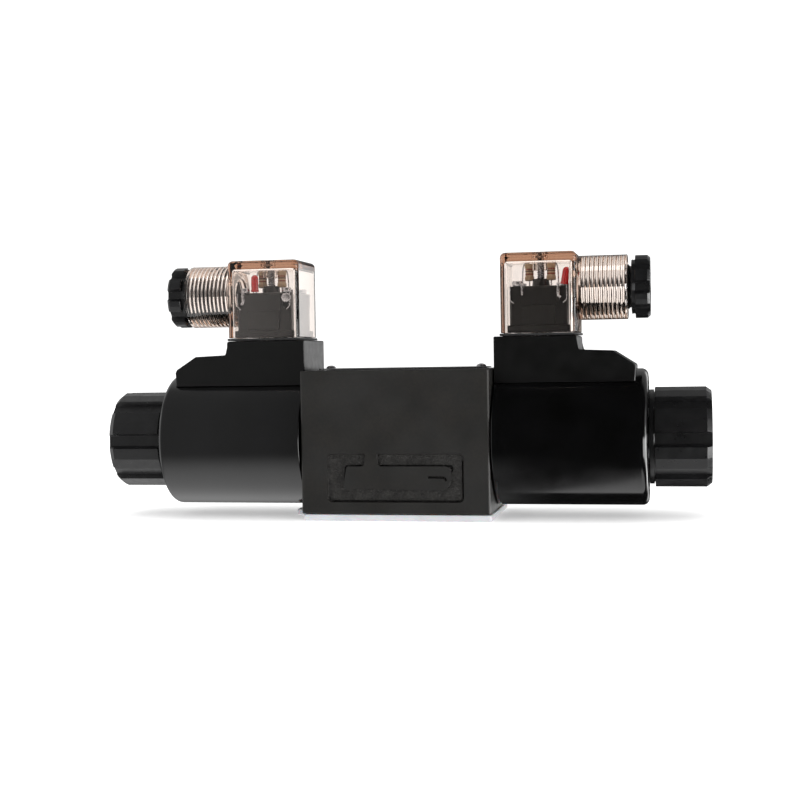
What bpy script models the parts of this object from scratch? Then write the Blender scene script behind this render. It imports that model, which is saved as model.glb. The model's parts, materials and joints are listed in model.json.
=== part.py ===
"""Double-solenoid directional control valve, size 6, built as separate parts.

The valve stands on its port cover plate.  +X runs along the spool, +Z is up, and
the origin is the centre of the plate's underside.  Each solenoid side is drawn in
its own frame: u runs outward along the spool axis from the body's centre, v lies
across it and w is the height above the spool axis.  The left side is the right
side turned half a turn about the vertical.
"""
import math

import bmesh
import bpy
from mathutils import Matrix, Vector

MM = 0.001
GAP = 0.3

# Body casting, with heights above its underside.
BODY_LENGTH = 70.4
BODY_WIDTH = 48.0
BODY_HEIGHT = 52.8
AXIS_IN_BODY = 26.7
PLATE_THICKNESS = 2.3
BODY_BOTTOM = PLATE_THICKNESS + GAP
AXIS_HEIGHT = BODY_BOTTOM + AXIS_IN_BODY
BODY_TOP = BODY_BOTTOM + BODY_HEIGHT

# Spool bore and the ring chambers that its lands open and close.
SPOOL_RADIUS = 6.0
BORE_RADIUS = SPOOL_RADIUS + GAP
CHAMBER_RADIUS = 9.0
CHAMBERS = ((-21.5, -16.5), (-12.0, -7.0), (-3.0, 3.0), (7.0, 12.0), (16.5, 21.5))
STEM_RADIUS = 3.75
SPOOL_LANDS = ((-22.7, -19.8), (-14.0, -5.2), (5.2, 14.0), (19.8, 22.7))

# Four mounting holes and four ports, on the standard size 6 pattern.
BOLT_HOLES = ((-20.25, -15.5), (20.25, -16.25), (20.25, 16.25), (-20.25, 15.5))
BOLT_RADIUS = 2.75
COUNTERBORE_RADIUS = 4.75
COUNTERBORE_DEPTH = 10.0
PORTS = {"a": (-7.55, 0.0, 19.0), "b": (9.95, 0.0, 19.0), "p": (1.25, 10.4, 26.0), "t": (1.25, -10.4, 11.0)}
PORT_RADIUS = 3.5
SEAL_SEAT_RADIUS = 6.2
SEAL_SEAT_DEPTH = 1.6
SEAL_OUTER_RADIUS = 5.8
SEAL_INNER_RADIUS = 4.5
SEAL_PLAY = 0.15

# Tank gallery that joins the end chambers to port T, heights above the body's underside.
TANK_GALLERY = ((-20.8, -12.2, 8.4), (20.8, -8.6, 12.6))
TANK_RISER_OFFSET = 19.0
TANK_RISER_HALF_LENGTH = 1.9
TANK_RISER = ((-12.1, 9.0), (-5.0, 24.0))

# Cast label pocket in the front face: centre x, centre height, length, height, depth.
POCKET = (0.1, 13.2, 50.6, 17.4, 1.2)
POCKET_CORNER = 1.6

# Name plate and its two drive rivets.
NAMEPLATE = (64.0, 19.0, 0.5)
RIVET_SPACING = 58.4
RIVET_RADIUS = 1.0
RIVET_HEAD_RADIUS = 1.9
RIVET_HEAD_HEIGHT = 1.2
RIVET_DEPTH = 4.0
PLATE_PLAY = 0.2

# Port cover plate, with two pegs that push into the mounting holes and a pull tab.
COVER_PEG_RADIUS = 2.3
COVER_PEG_HEIGHT = 6.0
COVER_PEG_TAPER = (1.0, 0.8)
COVER_SHIFT = 0.4
COVER_INSET = 0.6
COVER_CORNER = 1.0
TAB_REACH = 7.3
TAB_OVERLAP = 3.0
TAB_WIDTH = 12.0
TAB_SKIM = 0.1

# Core tube that screws into each end of the body.
THREAD_BORE_RADIUS = 10.8
THREAD_BORE_START = 25.0
TUBE_START = 25.6
TUBE_THREAD_RADIUS = 10.4
TUBE_RADIUS = 10.5
TUBE_FLANGE = (35.5, 37.7, 12.4)
SPRING_CUP_RADIUS = 6.7
POLE_FACE_INNER = 34.3
POLE_FACE_OUTER = 58.0
PIN_BORE_RADIUS = 1.95
CHAMBER_TUBE_RADIUS = 8.75
NUT_THREAD_START = 92.0
NUT_THREAD_RADIUS = 9.5
TUBE_END = 106.0
TUBE_SEAL = (33.3, 35.1, 11.2, 12.6)
TUBE_SEAL_SEAT = (33.0, 13.0)

# Moving train: seat, spring, push pin, armature.
SPRING_SEAT = (23.0, 24.6, 2.2, 5.8)
SPRING = (25.5, 33.4)
SPRING_MEAN_RADIUS = 4.7
SPRING_WIRE_RADIUS = 0.6
SPRING_TURNS = 4
PIN_RADIUS = 1.5
PIN_SPAN = (23.0, 61.2)
ARMATURE_SPAN = (61.5, 86.5)
ARMATURE_RADIUS = 8.35

# End stop of the core tube, and the override pin that slides in it.
STOP_INNER = 90.0
STOP_RADIUS = 8.4
OVERRIDE_RADIUS = 2.0
OVERRIDE_TIP = 93.0
OVERRIDE_HEAD = (105.5, 111.3, 3.5)
STOP_POCKET = (102.0, 3.9)

# Solenoid coil.
COIL_INNER = 35.8
COIL_OUTER = 91.2
COIL_RADIUS = 25.2
COIL_WALL = 2.0
COIL_END_WALL = 3.0
COIL_CHAMFER = 1.0
COIL_BORE_RADIUS = 10.95
FLANGE_RECESS_RADIUS = 13.1
BOBBIN_TUBE_RADIUS = 12.5
BOBBIN_FLANGE_RADIUS = 22.8
BOBBIN_FLANGE = 2.0
WINDING_RADIUS = 21.8

# Terminal base moulded on top of the coil, heights above the spool axis.
BASE_HALF_WIDTH = 14.9
BASE_OUTLINE = (
    (35.8, 37.7), (66.2, 37.7), (66.2, 32.0), (78.7, 32.0), (86.95, 26.7), (86.95, 18.0), (35.8, 18.0),
)
BASE_SEAT_RADIUS = COIL_RADIUS + GAP

# Plug connector with 28 mm sides.
PLUG_CENTRE = 52.2
PLUG_SIDE = 28.0
PLUG_BOTTOM = 38.9
PLUG_TOP = 68.3
PLUG_WALL = 1.8
PLUG_TOP_WALL = 3.2
PLUG_CORNER = 2.0
GASKET = (37.9, 38.7, 28.8)
NECK_HEIGHT = 55.3
NECK_RADIUS = 11.9
NECK_BORE_RADIUS = 9.3
NECK_END = 84.1
NECK_SHOULDER = 66.6
NECK_THROAT_RADIUS = 7.0
BLOCK_SIDE = 23.4
BLOCK_BOTTOM = 39.2
BLOCK_TOP = 56.0
BLOCK_COLUMN_TOP = 59.0
BLOCK_COLUMN_RADIUS = 3.6
SCREW_RADIUS = 1.5
SCREW_BOTTOM = 34.0
SCREW_HEAD_RADIUS = 2.7
SCREW_HEAD = (66.5, 68.2)
SCREW_CLEARANCE = 1.9
LAMP_LENGTH = 6.5
LAMP_RADIUS = 1.5
LAMP_DOME = 1.0

# Where each plug's lamp stands: offset from the plug centre (u, v), and its foot.
LAMPS = {"left": (4.2, 8.5, 56.5), "right": (9.3, -6.0, 56.5)}

# Contact blades: offset from the plug centre (u, v), and the side that the flat faces.
BLADES = {"line_blade": (0.0, 9.0, "v"), "return_blade": (0.0, -9.0, "v"), "earth_blade": (-8.5, 0.0, "u")}
BLADE_WIDTH = 6.3
BLADE_THICKNESS = 0.8
BLADE_SPAN = (35.0, 48.5)
BLADE_CLEARANCE = 0.35

# Coil nut, with eight lobes.
NUT_START = 91.5
NUT_COLLAR = (93.2, 17.4)
NUT_OUTER = 113.8
NUT_LOBE_RADIUS = 18.5
NUT_GROOVE_RADIUS = 16.2
NUT_CHAMFER = 2.4
NUT_BORE_RADIUS = 9.9
NUT_WALL_START = 106.6
NUT_HOLE_RADIUS = 5.5
NUT_SEAL = (91.8, 93.4, 11.0, 12.6)
NUT_SEAL_SEAT = (93.8, 13.1)

# Gland nut that screws into the plug's neck, with eight lobes. The left one is screwed in further.
GLAND_GAPS = {"left": 0.9, "right": 1.9}
GLAND_HEAD_LENGTH = 6.3
GLAND_LOBE_RADIUS = 11.8
GLAND_GROOVE_RADIUS = 10.0
GLAND_SHANK_RADIUS = 8.85
GLAND_SHANK_LENGTH = 13.0
GLAND_BORE_RADIUS = 5.0
GLAND_CHAMFER = 1.2
CABLE_SEAL = (67.0, 71.7, 4.0, 8.85)

SEGMENTS_COIL = 32
SEGMENTS = 16
LOBES = 8
POINTS_PER_LOBE = 4
FACET_TURN = math.radians(7)


# ---------------------------------------------------------------- scene and materials

def clear_scene():
    for obj in list(bpy.data.objects):
        bpy.data.objects.remove(obj, do_unlink=True)


def make_material(name, colour, roughness, metallic=0.0, alpha=1.0):
    mat = bpy.data.materials.new(name)
    mat.use_nodes = True
    shader = mat.node_tree.nodes["Principled BSDF"]
    shader.inputs["Base Color"].default_value = (*colour, 1.0)
    shader.inputs["Roughness"].default_value = roughness
    shader.inputs["Metallic"].default_value = metallic
    shader.inputs["Alpha"].default_value = alpha
    mat.diffuse_color = (*colour, alpha)
    return mat


def make_materials():
    return {
        "cast_iron": make_material("cast_iron", (0.040, 0.038, 0.034), 0.55, 0.4),
        "steel": make_material("steel", (0.55, 0.55, 0.56), 0.30, 1.0),
        "spring_steel": make_material("spring_steel", (0.35, 0.35, 0.37), 0.35, 1.0),
        "brass": make_material("brass", (0.75, 0.55, 0.22), 0.35, 1.0),
        "copper": make_material("copper", (0.55, 0.22, 0.09), 0.35, 1.0),
        "coil_black": make_material("coil_black", (0.012, 0.012, 0.013), 0.25),
        "moulded_black": make_material("moulded_black", (0.010, 0.010, 0.011), 0.45),
        "bobbin_plastic": make_material("bobbin_plastic", (0.55, 0.52, 0.45), 0.5),
        "rubber": make_material("rubber", (0.012, 0.012, 0.012), 0.8),
        "clear_plastic": make_material("clear_plastic", (0.85, 0.78, 0.74), 0.05, 0.0, 0.3),
        "red_lens": make_material("red_lens", (0.75, 0.02, 0.02), 0.2),
        "aluminium": make_material("aluminium", (0.75, 0.75, 0.75), 0.35, 1.0),
        "cover_plastic": make_material("cover_plastic", (0.80, 0.80, 0.81), 0.4),
    }


# ---------------------------------------------------------------- mesh builders

def ring_points(level, count):
    """One ring of a turned shape: level is (u, radius) or (u, function of the angle)."""
    along, radius = level
    points = []
    for index in range(count):
        angle = math.tau * index / count
        reach = radius(index) if callable(radius) else radius
        points.append(Vector((along, reach * math.cos(angle), reach * math.sin(angle))) * MM)
    return points


def turned(levels, count=SEGMENTS, closed=False):
    """Mesh turned about the u axis: rings joined in order, capped, or closed into a loop."""
    bm = bmesh.new()
    rings = [[bm.verts.new(point) for point in ring_points(level, count)] for level in levels]
    pairs = list(zip(rings, rings[1:]))
    if closed:
        pairs.append((rings[-1], rings[0]))
    else:
        bm.faces.new(rings[0])
        bm.faces.new(rings[-1])
    for ring, following in pairs:
        for index in range(count):
            after = (index + 1) % count
            bm.faces.new((ring[index], ring[after], following[after], following[index]))
    bmesh.ops.recalc_face_normals(bm, faces=bm.faces)
    return bm


def ring(start, end, inner, outer, count=SEGMENTS):
    return turned(((start, inner), (start, outer), (end, outer), (end, inner)), count, closed=True)


def rod(start, end, radius, count=SEGMENTS):
    return turned(((start, radius), (end, radius)), count)


def upright(bm):
    """Stand a mesh that was turned about u on its end, so that it runs along w."""
    for vert in bm.verts:
        along, across, up = vert.co
        vert.co = (across, up, along)
    bmesh.ops.recalc_face_normals(bm, faces=bm.faces)
    return bm


def block(low, high):
    bm = bmesh.new()
    bmesh.ops.create_cube(bm, size=1.0)
    low, high = Vector(low) * MM, Vector(high) * MM
    for vert in bm.verts:
        vert.co = [low[axis] + (vert.co[axis] + 0.5) * (high[axis] - low[axis]) for axis in range(3)]
    return bm


def block_about(centre, size):
    half = Vector(size) / 2
    return block(Vector(centre) - half, Vector(centre) + half)


def prism(outline, half_width):
    """An outline of (u, w) points, extruded across v."""
    bm = bmesh.new()
    sides = []
    for across in (-half_width, half_width):
        sides.append([bm.verts.new(Vector((u, across, w)) * MM) for u, w in outline])
    bm.faces.new(sides[0])
    bm.faces.new(sides[1])
    for index in range(len(outline)):
        after = (index + 1) % len(outline)
        bm.faces.new((sides[0][index], sides[0][after], sides[1][after], sides[1][index]))
    bmesh.ops.recalc_face_normals(bm, faces=bm.faces)
    return bm


def rounded_outline(length, width, corner, steps=3):
    """Corner-rounded rectangle about the origin, counter-clockwise."""
    points = []
    for quarter in range(4):
        side_x = 1 if quarter in (0, 3) else -1
        side_y = 1 if quarter in (0, 1) else -1
        for step in range(steps + 1):
            angle = math.radians(90 * (quarter + step / steps))
            points.append((side_x * (length / 2 - corner) + corner * math.cos(angle),
                           side_y * (width / 2 - corner) + corner * math.sin(angle)))
    return points


def slab(centre, outline, bottom, top):
    """A flat outline of (x, y) points, extruded from bottom to top."""
    bm = bmesh.new()
    rims = []
    for height in (bottom, top):
        rims.append([bm.verts.new(Vector((centre[0] + x, centre[1] + y, height)) * MM) for x, y in outline])
    bm.faces.new(rims[0])
    bm.faces.new(rims[1])
    for index in range(len(outline)):
        after = (index + 1) % len(outline)
        bm.faces.new((rims[0][index], rims[0][after], rims[1][after], rims[1][index]))
    bmesh.ops.recalc_face_normals(bm, faces=bm.faces)
    return bm


def helix_rod(start, end, mean_radius, wire_radius, turns, steps_per_turn=10, sides=4):
    """Round wire wound about u, with flat cut ends."""
    bm = bmesh.new()
    total = turns * steps_per_turn
    rings = []
    for step in range(total + 1):
        angle = math.tau * step / steps_per_turn
        along = start + (end - start) * step / total
        outward = Vector((0, math.cos(angle), math.sin(angle)))
        centre = outward * mean_radius + Vector((along, 0, 0))
        wire = []
        for side in range(sides):
            turn = math.tau * side / sides
            offset = outward * math.cos(turn) + Vector((1, 0, 0)) * math.sin(turn)
            wire.append(bm.verts.new((centre + offset * wire_radius) * MM))
        rings.append(wire)
    bm.faces.new(rings[0])
    bm.faces.new(rings[-1])
    for wire, following in zip(rings, rings[1:]):
        for side in range(sides):
            after = (side + 1) % sides
            bm.faces.new((wire[side], wire[after], following[after], following[side]))
    bmesh.ops.recalc_face_normals(bm, faces=bm.faces)
    return bm


def moved(bm, offset):
    bmesh.ops.translate(bm, verts=bm.verts, vec=Vector(offset) * MM)
    return bm


# ---------------------------------------------------------------- objects

def add_part(name, bm, mat, parent=None):
    mesh = bpy.data.meshes.new(name)
    bm.to_mesh(mesh)
    bm.free()
    mesh.materials.append(mat)
    mesh.shade_smooth()
    mesh.set_sharp_from_angle(angle=math.radians(30))
    obj = bpy.data.objects.new(name, mesh)
    bpy.context.scene.collection.objects.link(obj)
    obj.parent = parent
    return obj


def add_empty(name, location, turn=0.0, parent=None):
    empty = bpy.data.objects.new(name, None)
    empty.location = Vector(location) * MM
    empty.rotation_euler.z = turn
    empty.parent = parent
    bpy.context.scene.collection.objects.link(empty)
    return empty


def shape_with(part, bm, operation):
    """Cut bm out of the part, or join it on, with a Boolean and a hidden guide object."""
    mesh = bpy.data.meshes.new(part.name + "_guide")
    bm.to_mesh(mesh)
    bm.free()
    guide = bpy.data.objects.new(f"{part.name}_guide_{len(part.modifiers)}", mesh)
    guide.hide_render = True
    guide.display_type = "WIRE"
    guide.parent = part
    bpy.context.scene.collection.objects.link(guide)
    modifier = part.modifiers.new(f"{operation.lower()}_{len(part.modifiers)}", "BOOLEAN")
    modifier.operation = operation
    modifier.solver = "EXACT"
    modifier.object = guide


def cut(part, bm):
    shape_with(part, bm, "DIFFERENCE")


def join(part, bm):
    shape_with(part, bm, "UNION")


def side_box(low, high):
    """Block from a lower and an upper corner given as heights in the body."""
    return block((low[0], low[1], low[2] + BODY_BOTTOM), (high[0], high[1], high[2] + BODY_BOTTOM))


# ---------------------------------------------------------------- body and what is fixed to it

def along_axis(bm):
    """Lift a mesh turned about u to the height of the spool axis."""
    return moved(bm, (0, 0, AXIS_HEIGHT))


def standing(bm, x, y):
    """Stand a turned mesh up at x, y, with its facets clear of the bore's own facet lines."""
    bm = upright(bm)
    bmesh.ops.rotate(bm, verts=bm.verts, matrix=Matrix.Rotation(FACET_TURN, 3, "Z"))
    return moved(bm, (x, y, 0))


def build_valve_body(mats):
    half_length, half_width = BODY_LENGTH / 2, BODY_WIDTH / 2
    billet = block((-half_length, -half_width, BODY_BOTTOM), (half_length, half_width, BODY_TOP))
    body = add_part("valve_body", billet, mats["cast_iron"])
    cut(body, along_axis(rod(-half_length - 1, half_length + 1, BORE_RADIUS)))
    for start, end in CHAMBERS:
        cut(body, along_axis(rod(start, end, CHAMBER_RADIUS)))
    for side in (-1, 1):
        for start, radius in ((THREAD_BORE_START, THREAD_BORE_RADIUS), (TUBE_SEAL_SEAT[0], TUBE_SEAL_SEAT[1])):
            low, high = sorted((side * start, side * (half_length + 2)))
            cut(body, along_axis(rod(low, high, radius)))
        rivet_hole = rod(BODY_TOP - RIVET_DEPTH - GAP, BODY_TOP + 1, RIVET_RADIUS + GAP, 10)
        cut(body, standing(rivet_hole, side * RIVET_SPACING / 2, 0))
    for x, y in BOLT_HOLES:
        cut(body, standing(rod(BODY_BOTTOM - 1, BODY_TOP + 1, BOLT_RADIUS, 12), x, y))
        cut(body, standing(rod(BODY_TOP - COUNTERBORE_DEPTH, BODY_TOP + 1, COUNTERBORE_RADIUS), x, y))
    for x, y, depth in PORTS.values():
        cut(body, standing(rod(BODY_BOTTOM - 1, BODY_BOTTOM + depth, PORT_RADIUS, 12), x, y))
        cut(body, standing(rod(BODY_BOTTOM - 1, BODY_BOTTOM + SEAL_SEAT_DEPTH, SEAL_SEAT_RADIUS), x, y))
    cut(body, side_box(*TANK_GALLERY))
    (riser_front, riser_foot), (riser_back, riser_top) = TANK_RISER
    for side in (-1, 1):
        riser_x = side * TANK_RISER_OFFSET
        cut(body, side_box((riser_x - TANK_RISER_HALF_LENGTH, riser_front, riser_foot),
                           (riser_x + TANK_RISER_HALF_LENGTH, riser_back, riser_top)))
    centre_x, centre_z, length, height, depth = POCKET
    pocket = prism(rounded_outline(length, height, POCKET_CORNER), depth)
    pocket = moved(pocket, (centre_x, -half_width, BODY_BOTTOM + centre_z))
    cut(body, pocket)


def build_cover_plate(mats):
    outline = rounded_outline(BODY_LENGTH, BODY_WIDTH - COVER_INSET, COVER_CORNER, 2)
    sheet = slab((COVER_SHIFT, 0), outline, 0, PLATE_THICKNESS)
    plate = add_part("port_cover_plate", sheet, mats["cover_plastic"])
    tab = block((-BODY_LENGTH / 2 - TAB_REACH, -TAB_WIDTH / 2, TAB_SKIM),
                (-BODY_LENGTH / 2 + TAB_OVERLAP, TAB_WIDTH / 2, PLATE_THICKNESS - TAB_SKIM))
    join(plate, tab)
    peg_top = PLATE_THICKNESS + COVER_PEG_HEIGHT
    taper_height, taper_depth = COVER_PEG_TAPER
    profile = ((PLATE_THICKNESS / 2, COVER_PEG_RADIUS), (peg_top - taper_height, COVER_PEG_RADIUS),
               (peg_top, COVER_PEG_RADIUS - taper_depth))
    for x, y in (BOLT_HOLES[0], BOLT_HOLES[2]):
        join(plate, standing(turned(profile, 12), x, y))


def build_port_seals(mats):
    low = BODY_BOTTOM + SEAL_PLAY
    for name, (x, y, _) in PORTS.items():
        seal = ring(low, low + SEAL_SEAT_DEPTH - GAP, SEAL_INNER_RADIUS, SEAL_OUTER_RADIUS, 12)
        add_part("port_seal_" + name, standing(seal, x, y), mats["rubber"])


def build_nameplate(mats):
    length, width, thickness = NAMEPLATE
    low = BODY_TOP + PLATE_PLAY
    plate = add_part("nameplate", slab((0, 0), rounded_outline(length, width, 1.0, 2), low, low + thickness),
                     mats["aluminium"])
    for side, name in ((-1, "rivet_left"), (1, "rivet_right")):
        x = side * RIVET_SPACING / 2
        cut(plate, standing(rod(low - 1, low + thickness + 1, RIVET_RADIUS + GAP, 10), x, 0))
        head = low + thickness + PLATE_PLAY
        profile = ((BODY_TOP - RIVET_DEPTH, RIVET_RADIUS), (head, RIVET_RADIUS), (head, RIVET_HEAD_RADIUS),
                   (head + RIVET_HEAD_HEIGHT * 0.6, RIVET_HEAD_RADIUS * 0.8), (head + RIVET_HEAD_HEIGHT, RIVET_RADIUS))
        add_part(name, standing(turned(profile, 10), x, 0), mats["steel"])


def build_spool(mats):
    levels = []
    for start, end in SPOOL_LANDS:
        levels += [(start, STEM_RADIUS), (start, SPOOL_RADIUS), (end, SPOOL_RADIUS), (end, STEM_RADIUS)]
    axis = add_empty("spool_axis", (0, 0, AXIS_HEIGHT))
    add_part("spool", turned(levels[1:-1]), mats["steel"], axis)


# ---------------------------------------------------------------- one solenoid side

def lobed(lobe_radius, groove_radius):
    """Radius by point index: a groove between lobes, on a ring of LOBES * POINTS_PER_LOBE points."""
    return lambda index: groove_radius if index % POINTS_PER_LOBE == 0 else lobe_radius


def build_core_tube(side, frame, mats):
    flange_start, flange_end, flange_radius = TUBE_FLANGE
    levels = (
        (TUBE_START, SPRING_CUP_RADIUS), (TUBE_START, TUBE_THREAD_RADIUS), (flange_start, TUBE_THREAD_RADIUS),
        (flange_start, flange_radius), (flange_end, flange_radius), (flange_end, TUBE_RADIUS),
        (NUT_THREAD_START, TUBE_RADIUS), (NUT_THREAD_START, NUT_THREAD_RADIUS), (TUBE_END, NUT_THREAD_RADIUS),
        (TUBE_END, CHAMBER_TUBE_RADIUS), (POLE_FACE_OUTER, CHAMBER_TUBE_RADIUS), (POLE_FACE_OUTER, PIN_BORE_RADIUS),
        (POLE_FACE_INNER, PIN_BORE_RADIUS), (POLE_FACE_INNER, SPRING_CUP_RADIUS),
    )
    add_part("core_tube_" + side, turned(levels, closed=True), mats["steel"], frame)
    add_part("tube_seal_" + side, ring(*TUBE_SEAL), mats["rubber"], frame)
    pocket_start, pocket_radius = STOP_POCKET
    bore = OVERRIDE_RADIUS + GAP
    stop = ((STOP_INNER, bore), (STOP_INNER, STOP_RADIUS), (TUBE_END, STOP_RADIUS), (TUBE_END, pocket_radius),
            (pocket_start, pocket_radius), (pocket_start, bore))
    add_part("tube_stop_" + side, turned(stop, closed=True), mats["steel"], frame)


def build_moving_train(side, frame, mats):
    add_part("spring_seat_" + side, ring(*SPRING_SEAT, 12), mats["steel"], frame)
    spring = helix_rod(*SPRING, SPRING_MEAN_RADIUS, SPRING_WIRE_RADIUS, SPRING_TURNS)
    add_part("centring_spring_" + side, spring, mats["spring_steel"], frame)
    add_part("push_pin_" + side, rod(*PIN_SPAN, PIN_RADIUS, 10), mats["steel"], frame)
    start, end = ARMATURE_SPAN
    profile = ((start, ARMATURE_RADIUS - 0.8), (start + 0.8, ARMATURE_RADIUS), (end - 0.8, ARMATURE_RADIUS),
               (end, ARMATURE_RADIUS - 0.8))
    add_part("armature_" + side, turned(profile), mats["steel"], frame)
    head_start, head_end, head_radius = OVERRIDE_HEAD
    pin = ((OVERRIDE_TIP, OVERRIDE_RADIUS - 0.4), (OVERRIDE_TIP + 0.6, OVERRIDE_RADIUS), (head_start, OVERRIDE_RADIUS),
           (head_start, head_radius), (head_end - 0.8, head_radius), (head_end, head_radius - 0.8))
    add_part("override_pin_" + side, turned(pin, 12), mats["brass"], frame)


def build_coil(side, frame, mats):
    inner_radius = COIL_RADIUS - COIL_WALL
    case = (
        (COIL_INNER, FLANGE_RECESS_RADIUS), (COIL_INNER, COIL_RADIUS - COIL_CHAMFER / 2),
        (COIL_INNER + COIL_CHAMFER / 2, COIL_RADIUS), (COIL_OUTER - COIL_CHAMFER, COIL_RADIUS),
        (COIL_OUTER, COIL_RADIUS - COIL_CHAMFER), (COIL_OUTER, COIL_BORE_RADIUS),
        (COIL_OUTER - COIL_END_WALL, COIL_BORE_RADIUS), (COIL_OUTER - COIL_END_WALL, inner_radius),
        (COIL_INNER + COIL_END_WALL, inner_radius), (COIL_INNER + COIL_END_WALL, FLANGE_RECESS_RADIUS),
    )
    add_part("coil_case_" + side, turned(case, SEGMENTS_COIL, closed=True), mats["coil_black"], frame)
    start, end = COIL_INNER + COIL_END_WALL + GAP, COIL_OUTER - COIL_END_WALL - GAP
    bobbin = (
        (start, COIL_BORE_RADIUS), (start, BOBBIN_FLANGE_RADIUS), (start + BOBBIN_FLANGE, BOBBIN_FLANGE_RADIUS),
        (start + BOBBIN_FLANGE, BOBBIN_TUBE_RADIUS), (end - BOBBIN_FLANGE, BOBBIN_TUBE_RADIUS),
        (end - BOBBIN_FLANGE, BOBBIN_FLANGE_RADIUS), (end, BOBBIN_FLANGE_RADIUS), (end, COIL_BORE_RADIUS),
    )
    add_part("coil_bobbin_" + side, turned(bobbin, closed=True), mats["bobbin_plastic"], frame)
    inset = BOBBIN_FLANGE + GAP
    winding = ring(start + inset, end - inset, BOBBIN_TUBE_RADIUS + GAP + 0.2, WINDING_RADIUS)
    add_part("coil_winding_" + side, winding, mats["copper"], frame)


def blade_box(offset, facing, span, growth=0.0):
    u, v = PLUG_CENTRE + offset[0], offset[1]
    wide, thin = BLADE_WIDTH + 2 * growth, BLADE_THICKNESS + 2 * growth
    size_u, size_v = (wide, thin) if facing == "v" else (thin, wide)
    low, high = span[0] - growth, span[1] + growth
    return block_about((u, v, (low + high) / 2), (size_u, size_v, high - low))


def build_terminal_base(side, frame, mats):
    base = add_part("terminal_base_" + side, prism(BASE_OUTLINE, BASE_HALF_WIDTH), mats["moulded_black"], frame)
    cut(base, rod(COIL_INNER - 1, COIL_OUTER + 1, BASE_SEAT_RADIUS, SEGMENTS_COIL))
    cut(base, moved(upright(rod(SCREW_BOTTOM - GAP, PLUG_BOTTOM, SCREW_CLEARANCE, 10)), (PLUG_CENTRE, 0, 0)))
    for name, (u, v, facing) in BLADES.items():
        cut(base, blade_box((u, v), facing, BLADE_SPAN, BLADE_CLEARANCE))
        add_part(f"{name}_{side}", blade_box((u, v), facing, BLADE_SPAN), mats["steel"], frame)


def build_coil_nut(side, frame, mats):
    collar_end, collar_radius = NUT_COLLAR
    seat_end, seat_radius = NUT_SEAL_SEAT
    lobes = lobed(NUT_LOBE_RADIUS, NUT_GROOVE_RADIUS)
    outer_face = lobed(NUT_LOBE_RADIUS - NUT_CHAMFER, NUT_GROOVE_RADIUS - NUT_CHAMFER)
    levels = (
        (NUT_START, seat_radius), (NUT_START, collar_radius), (collar_end, collar_radius), (collar_end + 0.6, lobes),
        (NUT_OUTER - NUT_CHAMFER, lobes), (NUT_OUTER, outer_face), (NUT_OUTER, NUT_HOLE_RADIUS),
        (NUT_WALL_START, NUT_HOLE_RADIUS), (NUT_WALL_START, NUT_BORE_RADIUS), (seat_end, NUT_BORE_RADIUS),
        (seat_end, seat_radius),
    )
    nut = turned(levels, LOBES * POINTS_PER_LOBE, closed=True)
    add_part("coil_nut_" + side, nut, mats["moulded_black"], frame)
    add_part("nut_seal_" + side, ring(*NUT_SEAL), mats["rubber"], frame)


def build_plug_housing(side, frame, mats):
    outer = rounded_outline(PLUG_SIDE, PLUG_SIDE, PLUG_CORNER, 2)
    housing = add_part("plug_housing_" + side, slab((PLUG_CENTRE, 0), outer, PLUG_BOTTOM, PLUG_TOP),
                       mats["clear_plastic"], frame)
    wall_u = PLUG_CENTRE + PLUG_SIDE / 2
    join(housing, moved(rod(wall_u - 1, NECK_END, NECK_RADIUS), (0, 0, NECK_HEIGHT)))
    inside = PLUG_SIDE - 2 * PLUG_WALL
    cavity_top = PLUG_TOP - PLUG_TOP_WALL
    cut(housing, block((PLUG_CENTRE - inside / 2, -inside / 2, PLUG_BOTTOM - 1),
                       (PLUG_CENTRE + inside / 2, inside / 2, cavity_top)))
    cut(housing, moved(rod(NECK_SHOULDER, NECK_END + 1, NECK_BORE_RADIUS), (0, 0, NECK_HEIGHT)))
    throat = rod(wall_u - PLUG_WALL - 2, NECK_SHOULDER + 1, NECK_THROAT_RADIUS, 12)
    cut(housing, moved(throat, (0, 0, NECK_HEIGHT)))
    for start, radius in ((cavity_top - 1, SCREW_CLEARANCE), (SCREW_HEAD[0] - GAP, SCREW_HEAD_RADIUS + GAP)):
        cut(housing, moved(upright(rod(start, PLUG_TOP + 1, radius, 12)), (PLUG_CENTRE, 0, 0)))


def build_terminal_block(side, frame, mats):
    half = BLOCK_SIDE / 2
    insert = add_part("terminal_block_" + side, block((PLUG_CENTRE - half, -half, BLOCK_BOTTOM),
                                                      (PLUG_CENTRE + half, half, BLOCK_TOP)),
                      mats["moulded_black"], frame)
    column = upright(rod(BLOCK_TOP - 1, BLOCK_COLUMN_TOP, BLOCK_COLUMN_RADIUS, 12))
    join(insert, moved(column, (PLUG_CENTRE, 0, 0)))
    clearance = upright(rod(BLOCK_BOTTOM - 1, BLOCK_COLUMN_TOP + 1, SCREW_CLEARANCE, 10))
    cut(insert, moved(clearance, (PLUG_CENTRE, 0, 0)))
    for u, v, facing in BLADES.values():
        cut(insert, blade_box((u, v), facing, BLADE_SPAN, BLADE_CLEARANCE))


def build_gasket(side, frame, mats):
    low, high, width = GASKET
    sheet = slab((PLUG_CENTRE, 0), rounded_outline(width, width, 1.5, 1), low, high)
    gasket = add_part("plug_gasket_" + side, sheet,
                      mats["rubber"], frame)
    cut(gasket, moved(upright(rod(low - 1, high + 1, SCREW_CLEARANCE + 0.2, 10)), (PLUG_CENTRE, 0, 0)))
    for u, v, facing in BLADES.values():
        cut(gasket, blade_box((u, v), facing, BLADE_SPAN, BLADE_CLEARANCE + 0.1))


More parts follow.
